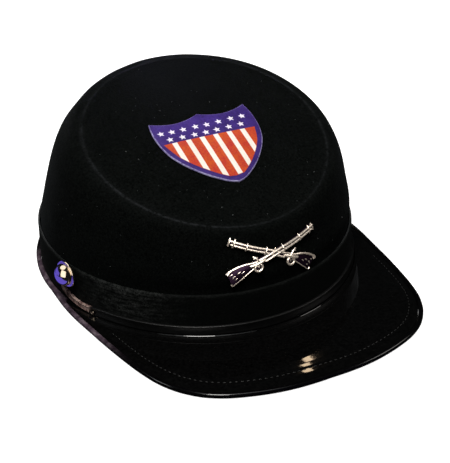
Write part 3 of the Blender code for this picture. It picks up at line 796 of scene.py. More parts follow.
def add_strap(patent):
    points = strap_points(1.2)
    per = math.radians(1.0) * (BAND_FOOT[0] + BAND_FOOT[1]) / 2
    section = (
        # across, out
        (1.0, 0.0), (1.0, 0.6), (0.93, 0.9), (0.8, 1.0), (0.66, 0.94), (0.5, 0.86), (0.0, 0.84),
        (-0.5, 0.86), (-0.66, 0.94), (-0.8, 1.0), (-0.93, 0.9), (-1.0, 0.6), (-1.0, 0.0),
    )
    shell = Shell()
    rings, tan = [], []
    n = len(points)
    for i, (a, h) in enumerate(points):
        b, c = points[max(i - 1, 0)], points[min(i + 1, n - 1)]
        t = Vector(((c[0] - b[0]) * per, c[1] - b[1])).normalized()
        ends = min(i, n - 1 - i)
        half = strap_half(a) * min(1.0, 0.5 + 0.25 * ends)
        ring = []
        for side, out in section:
            da, dh = -t.y * half * side / per, t.x * half * side
            ring.append(band_oval(h + dh, a + da, GAP + out * STRAP_THICK))
            # tan mask: the strap's end beyond the slide, brown leather with a painted warm highlight
            beyond = (abs(a) - SLIDE_ANGLE - 0.8) / 0.8
            tan.append(min(1.0, max(0.0, beyond)))
        rings.append(ring)
    shell.loft(rings, caps=True)
    obj = shell.done("strap", [patent], 50.0, {"tan": tan})
    return place(obj, "chin_strap", slot="strap_patent")


def strap_material(name):
    """Black lacquered strap whose right end shows brown leather, painted paler where it catches warm light."""
    m, tree, bsdf = new_material(name)
    base = coords(tree)
    tan = attribute(tree, "tan")
    mottled = noise(tree, base, 330.0, 5.0, 0.75)
    # the palest stops of the brown are a painted warm highlight
    brown = ramp(tree, mottled, [(0.36, (0.030, 0.014, 0.012)), (0.48, (0.15, 0.088, 0.078)), (0.62, (0.40, 0.30, 0.26))])
    black = ramp(tree, mottled, [(0.3, (0.0008, 0.0008, 0.0008)), (0.75, (0.0030, 0.0033, 0.0034))])
    tree.links.new(mix(tree, tan, black, brown), bsdf.inputs["Base Color"])
    rough = maths(tree, "MULTIPLY_ADD", tan, 0.30, maths(tree, "MULTIPLY_ADD", mottled, 0.15, 0.34))
    tree.links.new(rough, bsdf.inputs["Roughness"])
    bsdf.inputs["Specular IOR Level"].default_value = 0.30
    bump(tree, bsdf, noise(tree, base, 700.0, 4.0), 0.5, 0.00025)
    return m


def add_slide(brass):
    """Small brass tab on the strap, pillowed, where the tan end begins."""
    h = between(STRAP_LINE[:6], SLIDE_ANGLE)[1]
    per = math.radians(1.0) * (BAND_FOOT[0] + BAND_FOOT[1]) / 2
    top, low = h + 0.9, h - 1.7
    face = GAP + STRAP_THICK + GAP
    shell = Shell()
    rings = []
    for k in range(15):
        f = k / 14
        a = -SLIDE_ANGLE + (f - 0.5) * SLIDE_LENGTH / per
        ends = math.sin(math.pi * min(max(f, 0.03), 0.97)) ** 0.35
        ring = [band_oval(low + 0.15, a, face), band_oval(top - 0.15, a, face)]
        for q in range(13):
            g = q / 12
            z = top + (low - top) * g
            ring.append(band_oval(z, a, face + SLIDE_THICK * (0.25 + 0.75 * ends * math.sin(math.pi * min(max(g, 0.04), 0.96)) ** 0.4)))
        rings.append(ring)
    shell.loft(rings, caps=True)
    return place(shell.done("slide_plate", [brass], 50.0), "strap_slide", slot="brass")


def add_button(name, cad, side, brass, groove):
    """Domed button: rolled rim, fine bead inside it, smooth dome."""
    r, dome = BUTTON_RADIUS, BUTTON_DOME
    profile = [(r - 1.0, 0.0), (r - 0.45, 0.12), (r - 0.12, 0.45), (r, 0.9), (r - 0.1, 1.3),
               (r - 0.35, 1.62), (r - 0.7, 1.74), (r - 0.95, 1.66), (r - 1.15, 1.55)]
    base_r, base_z = r - 1.35, 1.62
    for k in range(0, 22):
        c = math.radians(90.0 * k / 22)
        profile.append((base_r * math.cos(c), base_z + (dome - base_z) * math.sin(c)))
    angle = -BUTTON_ANGLE if side < 0 else BUTTON_ANGLE + LEFT_SET_BACK
    seat = band_oval(BUTTON_HEIGHT, angle, GAP + STRAP_THICK + GAP + 0.45)
    normal = band_oval(BUTTON_HEIGHT, angle, 1.0) - band_oval(BUTTON_HEIGHT, angle)
    turn = normal.to_track_quat("Z", "Y").to_matrix()
    shell = Shell()
    count = 72
    rings = [[seat + turn @ Vector((rad * math.cos(math.tau * i / count), rad * math.sin(math.tau * i / count), z))
              for i in range(count)] for rad, z in profile]
    ids = shell.loft(rings)
    shell.face(ids[0][::-1])
    shell.fan(ids[-1], seat + turn @ Vector((0, 0, dome)))
    return place(shell.done(name, [brass, groove], 40.0), cad, slot="brass")


# -------------------------------------------------------------------- shield
def disc_surface(x, y, lift):
    normal, centre = top_normal(), ring_centre()
    back = Vector((0.0, normal.z, -normal.y))
    _, front_y, front_z, back_y, back_z, half_w, _ = CROWN_ROWS[-1]
    half_len = math.hypot(back_y - front_y, back_z - front_z) / 2
    f2 = (x / half_w) ** 2 + (y / half_len) ** 2
    return centre + Vector((x, 0, 0)) + back * y + normal * (TOP_RISE * (1 - f2) + lift)


def shield_half_width(below):
    return between(SHIELD_SIDE, below)[1]


def shield_outline(fine=60, steps=22):
    right = []
    for i in range(fine):
        below = SHIELD_SIDE[-1][0] * (i / fine) ** 0.9
        right.append((shield_half_width(below), -below))
    tip = (0.0, -SHIELD_SIDE[-1][0])
    corner = SHIELD_SIDE[0][1]
    top = []
    for i in range(steps):
        f = i / steps
        dip = SHIELD_SCALLOP * math.sin(math.pi * f) ** 0.9
        top.append((corner * f, SHIELD_TOP_CUSP * (1 - f) - dip))
    left = [(-x, y) for x, y in reversed(right)]
    top_left = [(-x, y) for x, y in reversed(top[1:])]
    return top + right + [tip] + left + top_left


SHIELD_ROT = Matrix.Rotation(math.radians(SHIELD_TURN), 2)


def shield_place(x, y, lift):
    p = SHIELD_ROT @ Vector((x, y))
    return disc_surface(SHIELD_CENTRE[0] + p.x, SHIELD_CENTRE[1] + p.y, lift)


def inset_loop(loop, dist):
    """Loop moved inwards by dist, each point along its own bisector."""
    out = []
    n = len(loop)
    for i, (x, y) in enumerate(loop):
        a, b = Vector(loop[i - 1]), Vector(loop[(i + 1) % n])
        t = (b - a).normalized()
        out.append((x + t.y * dist, y - t.x * dist))
    return out


CHIEF_LINE = -18.0
BORDER = 3.3
STRIPE_FIRST, STRIPE_PITCH, STRIPE_WIDTH = -21.7, 8.18, 2.95


def field_half(below, side):
    """Half width of the striped field; its border is broader low on the left."""
    low = max(0.0, (below - 30.0) / 26.0)
    grow = 0.35 if side > 0 else 0.75
    slim = (0.1 if side > 0 else 1.0) * min(1.0, max(0.0, (27.0 - below) / 9.0))
    return max(0.0, between(SHIELD_SIDE, below)[1] - (BORDER - slim) * (1.0 + grow * low))


def field_top(x):
    """Height of the striped field's upper edge, a little lower on the right."""
    return CHIEF_LINE - 1.0 - 0.65 * x / 22.0


FIELD_SIDE = {side: [(field_half(b, side), b) for b in np.linspace(-CHIEF_LINE, 55.0, 70)] for side in (-1, 1)}


def field_bottom(x):
    """Depth below the corners at which the striped field ends, at distance x across."""
    ax = abs(x)
    best = -CHIEF_LINE
    rows = FIELD_SIDE[1 if x > 0 else -1]
    for (w0, b0), (w1, b1) in zip(rows, rows[1:]):
        if (w0 - ax) * (w1 - ax) <= 0 and abs(w1 - w0) > 1e-9:
            best = b0 + (b1 - b0) * (w0 - ax) / (w0 - w1)
    return min(best, 52.2 - 0.16 * ax)


def slab(shell, x0, x1, top_of, bottom_of, low, high, mat, across, down=16):
    """Thin raised strip between x0 and x1, from top_of(x) down to bottom_of(x)."""
    def grid(lift):
        rows = []
        for i in range(across + 1):
            x = x0 + (x1 - x0) * i / across
            top = top_of(x)
            foot = min(-bottom_of(x), top - 0.02)
            rows.append([shield_place(x, top + (foot - top) * j / down, lift) for j in range(down + 1)])
        return rows
    up, under = grid(high), grid(low)
    ids_up, ids_low = [shell.add(c) for c in up], [shell.add(c) for c in under]
    for i in range(across):
        for j in range(down):
            shell.face((ids_up[i][j], ids_up[i][j + 1], ids_up[i + 1][j + 1], ids_up[i + 1][j]), mat)
            shell.face((ids_low[i][j], ids_low[i + 1][j], ids_low[i + 1][j + 1], ids_low[i][j + 1]), mat)
        shell.face((ids_up[i][0], ids_up[i + 1][0], ids_low[i + 1][0], ids_low[i][0]), mat)
        shell.face((ids_up[i][-1], ids_low[i][-1], ids_low[i + 1][-1], ids_up[i + 1][-1]), mat)
    for j in range(down):
        shell.face((ids_up[0][j], ids_low[0][j], ids_low[0][j + 1], ids_up[0][j + 1]), mat)
        shell.face((ids_up[-1][j], ids_up[-1][j + 1], ids_low[-1][j + 1], ids_low[-1][j]), mat)


STAR_ROWS = (
    # first_x  pitch  y, then each star's own (x, y) offset: the print is a little uneven
    (-25.8, 7.14, -9.7, ((-0.1, 0.2), (-0.8, -0.3), (-1.1, -0.4), (-0.8, -0.4), (-1.2, -0.8), (-0.9, -0.5), (-0.3, -0.1), (-0.3, 0.0))),
    (-22.9, 7.20, -15.0, ((0.0, -0.3), (0.2, -0.6), (0.2, -0.9), (-0.2, -1.1), (-0.6, -1.0), (-0.3, -0.9), (0.0, -0.6))),
)


def add_shield(violet, red, white, rim, star):
    outline = shield_outline()
    middle = (0.0, -SHIELD_SIDE[-1][0] * 0.42)
    low, high = GAP, GAP + SHIELD_THICK

    def ring(loop, share, lift):
        return [shield_place(middle[0] + (x - middle[0]) * share, middle[1] + (y - middle[1]) * share, lift)
                for x, y in loop]

    shell = Shell()
    eased = inset_loop(outline, 0.14)
    flat = inset_loop(outline, 0.42)
    rings = [ring(outline, s, low) for s in (0.12, 0.4, 0.7, 1.0)]
    rings.append(ring(outline, 1.0, high - 0.42))
    rings.append(ring(eased, 1.0, high - 0.13))
    rings.append(ring(flat, 1.0, high))
    ids = shell.loft(rings)
    # the rolled outer rim has its own paler finish
    n = len(outline)
    for k in range(3 * n, 6 * n):
        shell.mats[k] = 1
    more = shell.loft([rings[-1], *[ring(flat, s, high) for s in (0.8, 0.6, 0.4, 0.2)]])
    shell.fan(ids[0], shield_place(*middle, low), flip=True)
    shell.fan(more[-1], shield_place(*middle, high))
    plate = shell.done("shield_plate", [violet, rim], 60.0)
    bm = bmesh.new()
    bm.from_mesh(plate.data)
    bmesh.ops.remove_doubles(bm, verts=bm.verts, dist=1e-7)
    bmesh.ops.recalc_face_normals(bm, faces=bm.faces)
    bm.to_mesh(plate.data)
    bm.free()
    plate.data.set_sharp_from_angle(angle=math.radians(50))
    place(plate, "shield_emblem", slot="shield_print")

    shell = Shell()
    slab(shell, -field_half(-CHIEF_LINE, -1), field_half(-CHIEF_LINE, 1), field_top, field_bottom,
         high - 0.1, high + 0.07, 0, 90)
    for k in range(6):
        x = STRIPE_FIRST + STRIPE_PITCH * k
        slab(shell, x - STRIPE_WIDTH / 2, x + STRIPE_WIDTH / 2, lambda q: field_top(q) - 0.06,
             lambda q: field_bottom(q) - 0.25, high, high + 0.13, 1, 6)
    stripes = place(shell.done("shield_stripes", [red, white], 30.0), slot="shield_print")

    shell = Shell()
    for first, pitch, y, offsets in STAR_ROWS:
        for k, (dx, dy) in enumerate(offsets):
            cx, cy = first + pitch * k + dx, y + dy
            pts = []
            for q in range(10):
                rad = 2.12 if q % 2 == 0 else 0.98
                c = math.radians(90 + 36 * q)
                pts.append((cx + rad * math.cos(c), cy + rad * math.sin(c)))
            lows = shell.add([shield_place(px, py, high - 0.1) for px, py in pts])
            tops = shell.add([shield_place(px, py, high + 0.12) for px, py in pts])
            (mt,) = shell.add([shield_place(cx, cy, high + 0.13)])
            (ml,) = shell.add([shield_place(cx, cy, high - 0.1)])
            for q in range(10):
                w = (q + 1) % 10
                shell.face((tops[q], tops[w], mt))
                shell.face((lows[w], lows[q], ml))
                shell.face((lows[q], lows[w], tops[w], tops[q]))
    stars = place(shell.done("shield_stars", [star], 30.0), slot="shield_print")
    return plate, stripes, stars


# -------------------------------------------------------------------- badge
def front_wall(x, z, out):
    share, angle = 0.6, math.degrees(math.atan2(x, 90.0))
    for _ in range(40):
        p = crown_point(round(share, 6), angle)
        share = min(max(share + (z - p.z) * 0.011, 0.2), 1.0)
        angle += (x - p.x) * 0.5
    p, n = crown_point(round(share, 6), angle), crown_normal(round(share, 6), angle)
    return p + n * out


RIFLE_ROWS = (
    # station  under   top
    (-27.0, -4.1, 4.1),
    (-24.5, -3.3, 4.9),
    (-21.7, -2.4, 5.1),
    (-16.8, -1.0, 5.0),
    (-13.0, 0.0, 3.9),
    (-9.5, -0.2, 3.9),
    (-4.5, -0.1, 3.7),
    (3.0, -0.2, 3.3),
    (14.0, -1.0, 2.2),
    (23.3, -1.5, 1.7),
    (26.9, -1.7, 1.6),
)


def rifle_at(station):
    _, under, top = between(RIFLE_ROWS, station)
    return under, top


def tube(shell, path, radius, mat=0, squash=1.0, sides=10, base=0.0):
    """Round bar lying in the badge's plane; path is (x, y) or (x, y, height) points."""
    pts = [Vector((p[0], p[1], p[2] if len(p) > 2 else base)) for p in path]
    rings = []
    for i, p in enumerate(pts):
        t = (pts[min(i + 1, len(pts) - 1)] - pts[max(i - 1, 0)]).normalized()
        side = Vector((-t.y, t.x, 0.0)).normalized()
        up = t.cross(side) * (-1 if t.cross(side).z < 0 else 1)
        r = radius(i / (len(pts) - 1)) if callable(radius) else radius
        rings.append([p + side * r * math.cos(q) + up * r * squash * math.sin(q)
                      for q in (math.tau * j / sides for j in range(sides))])
    shell.loft(rings, caps=True, mat=mat)


def block(shell, points, low, high, mat=0, ease=0.18):
    """Raised outline with eased upper edges."""
    n = len(points)
    cx = sum(p[0] for p in points) / n
    cy = sum(p[1] for p in points) / n
    def inset(d):
        out = []
        for x, y in points:
            v = Vector((x - cx, y - cy))
            k = max(0.0, 1 - d / max(v.length, 1e-6))
            out.append((cx + v.x * k, cy + v.y * k))
        return out
    rings = [[Vector((x, y, low)) for x, y in points],
             [Vector((x, y, high - ease)) for x, y in points],
             [Vector((x, y, high)) for x, y in inset(ease)]]
    shell.loft(rings, caps=True, mat=mat)


def rifle_relief():
    """One rifle along x, butt at -27 and muzzle at +27. Slots: 0 bright, 1 painted shade."""
    s = Shell()
    # body plate under everything, painted near-black violet as shade between the bright parts
    stations = [-26.8 + 53.6 * i / 40 for i in range(41)]
    rings = []
    for st in stations:
        under, top = rifle_at(st)
        under, top = under + 0.15, top - 0.15
        h = 0.75
        rings.append([Vector((st, under, 0.0)), Vector((st, under, h * 0.7)), Vector((st, under + 0.25, h)),
                      Vector((st, top - 0.25, h)), Vector((st, top, h * 0.7)), Vector((st, top, 0.0))])
    s.loft(rings, caps=True, mat=1)
    # barrel: upper bar, from the breech to the muzzle
    def offset(f0, f1, share, h):
        out = []
        for i in range(26):
            st = f0 + (f1 - f0) * i / 25
            under, top = rifle_at(st)
            out.append((st, under + (top - under) * share, h))
        return out
    tube(s, offset(-8.6, 26.9, 0.77, 1.05), 0.66, 0, 1.1)
    tube(s, offset(-6.0, 25.4, 0.21, 0.90), 0.62, 0, 1.1)
    # comb of the stock: broad bright edge that thickens to the heel
    comb = [(-26.9, 3.3), (-26.0, 4.1), (-24.2, 4.6), (-21.5, 4.75), (-18.5, 4.7), (-15.5, 4.2), (-12.8, 3.3), (-10.0, 2.8)]
    tube(s, [(x, y, 1.0) for x, y in even2(comb, 26)],
         lambda f: 0.56 + 0.50 * math.exp(-((f / 0.09) ** 2)), 0, 0.95)
    # toe line: thin bright edge underneath
    toe = [(-26.6, -3.9), (-22.0, -2.35), (-17.0, -0.85), (-13.0, 0.15), (-11.0, 0.35)]
    tube(s, [(x, y, 0.7) for x, y in even2(toe, 20)], 0.28, 0, 0.9, sides=8)
    # butt plate: one short piece at its lower end, the middle left dark
    tube(s, [(-26.7, -3.7, 0.75), (-26.9, -2.6, 0.8)], 0.42, 0, 0.9, sides=8)
    # engraving on the stock's flat
    for x, y, dx, dy, r in ((-24.4, 0.6, 1.5, 0.8, 0.26), (-23.6, -0.9, 1.2, 0.5, 0.24), (-21.2, 1.6, 1.6, 0.4, 0.24),
                            (-19.0, 0.9, 1.4, 0.5, 0.22), (-25.2, 2.2, 1.2, 0.3, 0.26)):
        tube(s, [(x - dx / 2, y - dy / 2, 0.75), (x, y + 0.2, 0.86), (x + dx / 2, y + dy / 2, 0.75)], r, 0, 0.8, sides=7)
    # wrist and lock plate
    tube(s, [(-14.5, 2.2, 1.0), (-11.5, 1.7, 1.15), (-7.5, 1.7, 1.15), (-5.2, 1.5, 0.9)], lambda f: 0.75 + 0.25 * math.sin(math.pi * f), 0, 0.9)
    # hammer: spur and round boss
    tube(s, [(-9.4, 1.8, 1.3), (-9.5, 3.6, 1.6), (-10.2, 5.3, 1.55), (-11.2, 6.6, 1.3)], lambda f: 0.62 - 0.18 * f, 0, 0.9, sides=8)
    tube(s, [(-11.4, 5.3, 1.3), (-10.2, 5.0, 1.4), (-9.1, 4.9, 1.2)], 0.36, 0, 0.9, sides=8)
    boss = [(-9.3 + 1.15 * math.cos(q), 2.3 + 1.05 * math.sin(q), 1.35) for q in (math.tau * k / 16 for k in range(17))]
    tube(s, boss, 0.36, 0, 0.9, sides=7)
    # trigger guard: open round bow, with the trigger in it
    bow = [(-10.7 + 2.15 * math.cos(q), -0.5 + 1.85 * math.sin(q), 1.15) for q in (math.tau * k / 24 for k in range(25))]
    tube(s, bow, 0.62, 0, 1.0, sides=9)
    disc = [(-10.7 + 1.7 * math.cos(q), -0.5 + 1.4 * math.sin(q)) for q in (math.tau * k / 16 for k in range(16))]
    block(s, disc, 0.0, 0.8, 1)
    tube(s, [(-9.8, 0.5, 1.0), (-10.6, -0.7, 1.0)], 0.30, 0, 0.9, sides=7)
    # bands and sights
    for st, tall in ((6.0, 0.0), (17.0, 0.0), (24.0, 0.35)):
        under, top = rifle_at(st)
        tube(s, [(st, under - 0.35 - tall, 0.6), (st, under + 0.2, 1.35), (st, (under + top) / 2, 1.6),
                 (st, top - 0.1, 1.55), (st, top + 0.4 + tall, 0.8)], 0.42, 0, 0.8, sides=8)
    under, top = rifle_at(26.4)
    tube(s, [(26.5, under - 0.45, 0.7), (26.6, (under + top) / 2, 1.3), (26.5, top + 0.5, 0.8)], 0.5, 0, 0.85, sides=8)
    tube(s, [(1.6, 3.2, 1.3), (1.2, 4.3, 1.2)], 0.34, 0, 0.9, sides=7)
    return s


def even2(points, count):
    return [(p.x, p.y) for p in even([Vector((x, y, 0)) for x, y in points], count, closed=False)]


def add_badge(gilt, painted_shade):
    relief = rifle_relief()
    shell = Shell()
    for direction in (1, -1):
        flip = Matrix.Diagonal((direction, 1.0, 1.0, 1.0))
        lean = Matrix.Rotation(math.radians(RIFLE_ANGLE) * direction, 4, "Z")
        turn = Matrix.Rotation(math.radians(BADGE_TURN), 4, "Z")
        mat = turn @ lean @ flip
        lift = 0.62 if direction > 0 else 0.0  # the rifle that points up to the right lies on top
        start = len(shell.verts)
        for v in relief.verts:
            p = mat @ v
            on = 1.0
            out = v.z + (lift if v.z > 0.3 else 0.0)
            shell.verts.append(front_wall(BADGE_CENTRE[0] + p.x, BADGE_CENTRE[1] + p.y, GAP + 0.15 + out * on))
        for f, m in zip(relief.faces, relief.mats):
            ids = tuple(start + i for i in f)
            shell.faces.append(ids if direction > 0 else ids[::-1])
            shell.mats.append(m)
    return place(shell.done("rifles_relief", [gilt, painted_shade], 50.0), "rifles_badge", slot="gilt_badge")


# ==================================================================== light, floor, camera
CAMERA = {"azimuth": -26.54, "elevation": 30.267, "roll": -2.118, "distance": 991.08,
          "focal_px": 1689.3, "centre_px": (195.231, 249.508)}


def add_camera():
    a, e, r = (math.radians(CAMERA[k]) for k in ("azimuth", "elevation", "roll"))
    back = Vector((math.sin(a) * math.cos(e), -math.cos(a) * math.cos(e), math.sin(e)))
    right0 = Vector((math.cos(a), math.sin(a), 0.0))
    up0 = back.cross(right0)
    right = right0 * math.cos(r) + up0 * math.sin(r)
    up = up0 * math.cos(r) - right0 * math.sin(r)
    data = bpy.data.cameras.new("camera")
    data.sensor_width = 36.0
    data.sensor_fit = "AUTO"
    data.lens = CAMERA["focal_px"] * 36.0 / 463.0
    data.shift_x = (225.0 - CAMERA["centre_px"][0]) / 463.0
    data.shift_y = (CAMERA["centre_px"][1] - 231.5) / 463.0
    data.clip_start, data.clip_end = 0.01, 50.0
    cam = bpy.data.objects.new("camera", data)
    m = Matrix((right, up, back)).transposed().to_4x4()
    m.translation = (back * CAMERA["distance"] + Vector(ORIGIN_SHIFT)) * MM
    cam.matrix_world = m
    bpy.context.scene.collection.objects.link(cam)
    bpy.context.scene.camera = cam
    return cam


def area(name, azimuth, elevation, distance, size, power, colour=(1, 1, 1), target=(0, 0, 40), spread=180.0, size_y=None):
    a, e = math.radians(azimuth), math.radians(elevation)
    way = Vector((math.sin(a) * math.cos(e), -math.cos(a) * math.cos(e), math.sin(e)))
    data = bpy.data.lights.new(name, "AREA")
    data.shape = "RECTANGLE" if size_y else "DISK"
    data.size = size
    if size_y:
        data.size_y = size_y
    data.energy = power
    data.color = colour
    data.spread = math.radians(spread)
    obj = bpy.data.objects.new(name, data)
    at = (Vector(target) + Vector(ORIGIN_SHIFT)) * MM
    obj.location = at + way * distance
    obj.rotation_euler = way.to_track_quat("Z", "Y").to_euler()
    obj.visible_camera = False
    bpy.context.scene.collection.objects.link(obj)
    return obj


def add_stage():
    """Pale floor that sweeps up far away into a round backdrop."""
    shell = []
    profile = [(0.0, 0.0), (2.2, 0.0), (3.2, 0.05), (3.9, 0.35), (4.3, 0.9), (4.4, 1.8), (4.4, 3.6)]
    verts, faces = [(0.0, 0.0, -0.0002)], []
    count = 64
    for r, z in profile[1:]:
        for i in range(count):
            c = math.tau * i / count
            verts.append((r * math.cos(c), r * math.sin(c), z - 0.0002))
    for i in range(count):
        faces.append((0, 1 + i, 1 + (i + 1) % count))
    for k in range(len(profile) - 2):
        for i in range(count):
            j = (i + 1) % count
            a, b = 1 + k * count, 1 + (k + 1) * count
            faces.append((a + i, b + i, b + j, a + j))
    mesh = bpy.data.meshes.new("floor")
    mesh.from_pydata(verts, [], faces)
    mesh.shade_smooth()
    m, tree, bsdf = new_material("pale_floor")
    bsdf.inputs["Base Color"].default_value = (0.86, 0.86, 0.86, 1.0)
    bsdf.inputs["Roughness"].default_value = 0.9
    bsdf.inputs["Specular IOR Level"].default_value = 0.0
    bsdf.inputs["Emission Color"].default_value = (1.0, 1.0, 1.0, 1.0)
    bsdf.inputs["Emission Strength"].default_value = 0.80
    mesh.materials.append(m)
    floor = bpy.data.objects.new("floor", mesh)
    bpy.context.scene.collection.objects.link(floor)
    floor.visible_glossy = False
    floor.visible_diffuse = False
    floor.visible_shadow = False
    return floor


WINDOW = (
    # seen from x, y, z    azimuth elevation width  height turn
    (-1.3, -132.5, 4.3, 146.36, 39.31, 0.0057, 0.038, 24.4),
    (-5.1, -136.5, 4.0, 145.06, 42.00, 0.0135, 0.060, 28.3),
    (-8.7, -141.9, 3.5, 143.10, 45.50, 0.0170, 0.078, 30.0),
)


def add_lights():
    world = bpy.data.worlds.new("studio")
    world.use_nodes = True
    world.node_tree.nodes["Background"].inputs["Color"].default_value = (0.85, 0.95, 1.0, 1.0)
    world.node_tree.nodes["Background"].inputs["Strength"].default_value = 0.010
    bpy.context.scene.world = world
    soft = [
        area("key", -37, 60, 1.2, 0.30, 11.0, (1.0, 0.97, 0.93), size_y=0.45),
        area("top", -20, 86, 1.4, 0.9, 2.4, (0.96, 0.98, 1.0)),
        area("right", 62, 36, 1.2, 0.5, 2.6, (1.0, 0.96, 0.92)),
        area("left", -104, 30, 1.2, 0.4, 1.9, (0.95, 0.98, 1.0)),
        area("haze", -172, 66, 0.5, 0.05, 0.024, (0.68, 0.56, 1.0), target=(2, 44, 97), spread=15.0),
    ]
    # the felt's far sides have their own fill, out of the polished pieces' sight
    behind = [
        area("behind", 178, 14, 1.3, 0.6, 7.0, (0.94, 0.97, 1.0)),
        area("behind_left", 126, 15, 1.3, 0.6, 4.5, (0.94, 0.97, 1.0)),
        area("behind_right", -150, 10, 1.3, 0.4, 1.4, (0.94, 0.97, 1.0)),
    ]
    # a warm window behind, seen small in the visor's gloss
    window = []
    for i, (x, y, z, azimuth, elevation, width, height, turn) in enumerate(WINDOW):
        light = area("window_%d" % i, azimuth, elevation, 1.2, width, 1.0, (1.0, 0.74, 0.48),
                     target=(x, y, z), size_y=height)
        light.data.energy = 12.0 * math.pi * width * height
        light.rotation_euler = (light.rotation_euler.to_quaternion()
                                @ Quaternion((0.0, 0.0, 1.0), math.radians(turn))).to_euler()
        window.append(light)
    # the polished brass has its own soft boxes, close by
    near = (-92.0, -24.0, 27.0)
    boxes = [
        area("box_high", -140, 68, 0.45, 0.45, 0.60, (1.0, 0.99, 0.94), target=near),
        area("box_low", -57, 23, 0.40, 0.40, 0.78, (1.0, 0.99, 0.94), target=near, size_y=0.48),
        area("box_side", 39, 44, 0.40, 0.12, 0.030, (1.0, 0.84, 0.70), target=near, size_y=0.30),
    ]
    far = (96.0, 2.0, 27.0)
    violets = [
        # low violet glow beside the cap
        glow("violet_side", (-138.0, 8.0), (80.0, 108.0), 0.80, (0.14, 0.11, 1.0)),
        area("violet_back", -131, 2, 0.35, 0.44, 0.80 * math.pi * 0.44 * 0.18, (0.14, 0.11, 1.0), target=near, size_y=0.18),
    ]
    boxes += [area("box_left_high", 70, 52, 0.45, 0.36, 0.45, (1.0, 0.99, 0.94), target=far),
              area("box_left_low", 112, 14, 0.42, 0.30, 0.40, (1.0, 0.96, 0.90), target=far, size_y=0.24)]
    under = [glow("violet_front", (-40.0, -215.0), (360.0, 90.0), 0.22, (0.22, 0.10, 1.0))]
    badge = [area("badge_front", -8, 22, 0.8, 0.6, 8.0, (1.0, 0.95, 0.88), target=(15, -80, 55))]
    return soft, window, boxes, violets, badge, under, behind


def share_lights(groups, parts):
    """Each group of lights reaches only the pieces listed with it."""
    for lights, names in groups:
        reached = bpy.data.collections.new("reached_by_" + lights[0].name)
        for obj in parts:
            if any(obj.name.startswith(n) for n in names):
                reached.objects.link(obj)
        for light in lights:
            light.light_linking.receiver_collection = reached


def glow(name, middle, size, radiance, colour):
    """Flat light lying on the ground and facing up; middle and size in mm."""
    data = bpy.data.lights.new(name, "AREA")
    data.shape = "RECTANGLE"
    data.size, data.size_y = size[0] * MM, size[1] * MM
    data.energy = radiance * math.pi * data.size * data.size_y
    data.color = colour
    obj = bpy.data.objects.new(name, data)
    obj.location = (Vector((middle[0], middle[1], 0.05)) + Vector(ORIGIN_SHIFT)) * MM
    obj.rotation_euler = (math.pi, 0.0, 0.0)
    obj.visible_camera = False
    bpy.context.scene.collection.objects.link(obj)
    return obj


def add_lint(pale):
    """A few stray fibres caught on the felt."""
    rnd = random.Random(11)
    spots = [(share, angle, 0.9) for share, angle in LINT]
    for _ in range(90):
        spots.append((rnd.uniform(0.3, 1.95), rnd.uniform(-180.0, 180.0), rnd.uniform(0.25, 0.55)))
    shell = Shell()
    for share, angle, size in spots:
        share = round(share, 3)
        n = crown_normal(share, angle)
        p = crown_point(share, angle)
        if p.z < 29.0:
            continue
        off = (share - 1.0) * (CROWN_RUN if share < 1 else 68.0)
        lift = 0.35 * math.exp(-((off / 1.5) ** 2)) + 0.46
        t = n.orthogonal().normalized()
        t.rotate(Matrix.Rotation(rnd.uniform(0, math.tau), 3, n))
        w = n.cross(t)
        bend = rnd.uniform(-0.5, 0.5)
        rings = []
        for k in range(6):
            f = k / 5 - 0.5
            c = p + n * (lift + 0.12 * math.cos(math.pi * f)) + t * f * size + w * bend * size * (f * f - 0.1)
            r = 0.11 * (0.45 + 0.55 * math.cos(math.pi * f)) * (1.0 if size < 0.6 else 1.7)
            rings.append([c + (w * math.cos(q) + n * math.sin(q)) * r for q in (math.tau * j / 6 for j in range(6))])
        shell.loft(rings, caps=True)
    return place(shell.done("felt_lint", [pale], 60.0), slot="black_felt")


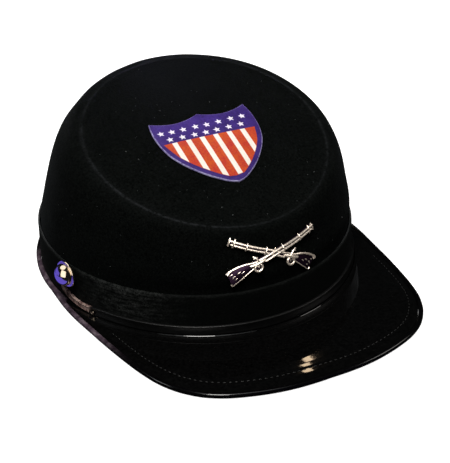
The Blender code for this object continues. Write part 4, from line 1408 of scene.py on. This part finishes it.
def main():
    sc = bpy.context.scene
    sc.view_settings.view_transform = "Standard"
    sc.view_settings.look = "None"
    felt = felt_material("black_felt_wool", (0.0006, 0.0009, 0.0008), (0.0056, 0.0066, 0.0061))
    ribbon = ribbon_material("black_ribbon_weave")
    patent = patent_material("visor_lacquer")
    edge = patent_material("edge_lacquer", (0.0012, 0.0011, 0.0013), 0.16, 0.05, worn=True)
    strap = strap_material("strap_lacquer")
    thread = thread_material("black_thread", (0.0045, 0.005, 0.0045))
    brass = metal_material("brass_polished", (0.95, 0.80, 0.62), (0.60, 0.42, 0.28), 0.08, 0.20)
    gilt = metal_material("gilt_stamping", (1.0, 0.92, 0.80), (0.70, 0.42, 0.34), 0.27, 0.35, 0.88)
    # painted shade: near-black violet in the badge's hollows, standing for shade with a violet reflection in it
    painted_shade = metal_material("gilt_recess", (0.016, 0.006, 0.018), (0.006, 0.002, 0.008), 0.45, 0.6, 0.9)
    violet = print_material("violet_print", (0.030, 0.015, 0.115), (0.064, 0.034, 0.220))
    rim = print_material("violet_rim", (0.10, 0.07, 0.27), (0.52, 0.49, 0.76), 0.35)
    red = print_material("vermilion_print", (0.48, 0.032, 0.034), (0.62, 0.110, 0.018))
    white = print_material("stripe_print", (0.91, 0.84, 0.74), (0.97, 0.92, 0.85))
    star = print_material("star_print", (0.94, 0.92, 0.92), (0.98, 0.97, 0.97))
    pale = thread_material("lint", (0.11, 0.12, 0.12))
    add_camera()
    add_stage()
    soft, window, boxes, violets, front, under, behind = add_lights()
    add_crown(felt)
    add_lint(pale)
    add_band(ribbon)
    add_visor(patent, thread)
    add_edge(edge, edge)
    add_strap(strap)
    add_slide(brass)
    add_button("button_right", "side_button_r", -1, brass, painted_shade)
    add_button("button_left", "side_button_l", 1, brass, painted_shade)
    add_shield(violet, red, white, rim, star)
    badge = add_badge(gilt, painted_shade)
    badge.visible_glossy = False
    parts = [o for o in bpy.data.objects if o.type == "MESH" and not o.hide_render]
    round_work = ("button_right", "button_left", "slide_plate")
    others = sorted({o.name for o in parts if not o.name.startswith(round_work)})
    share_lights([(soft, others), (window, ("visor_patent",)), (boxes, round_work),
                  (violets, ("button_right", "button_left")), (front, ("rifles_relief",)),
                  (under, ("bound_edge_roll",)), (behind, ("crown_felt", "band_ribbon", "felt_lint"))], parts)


main()
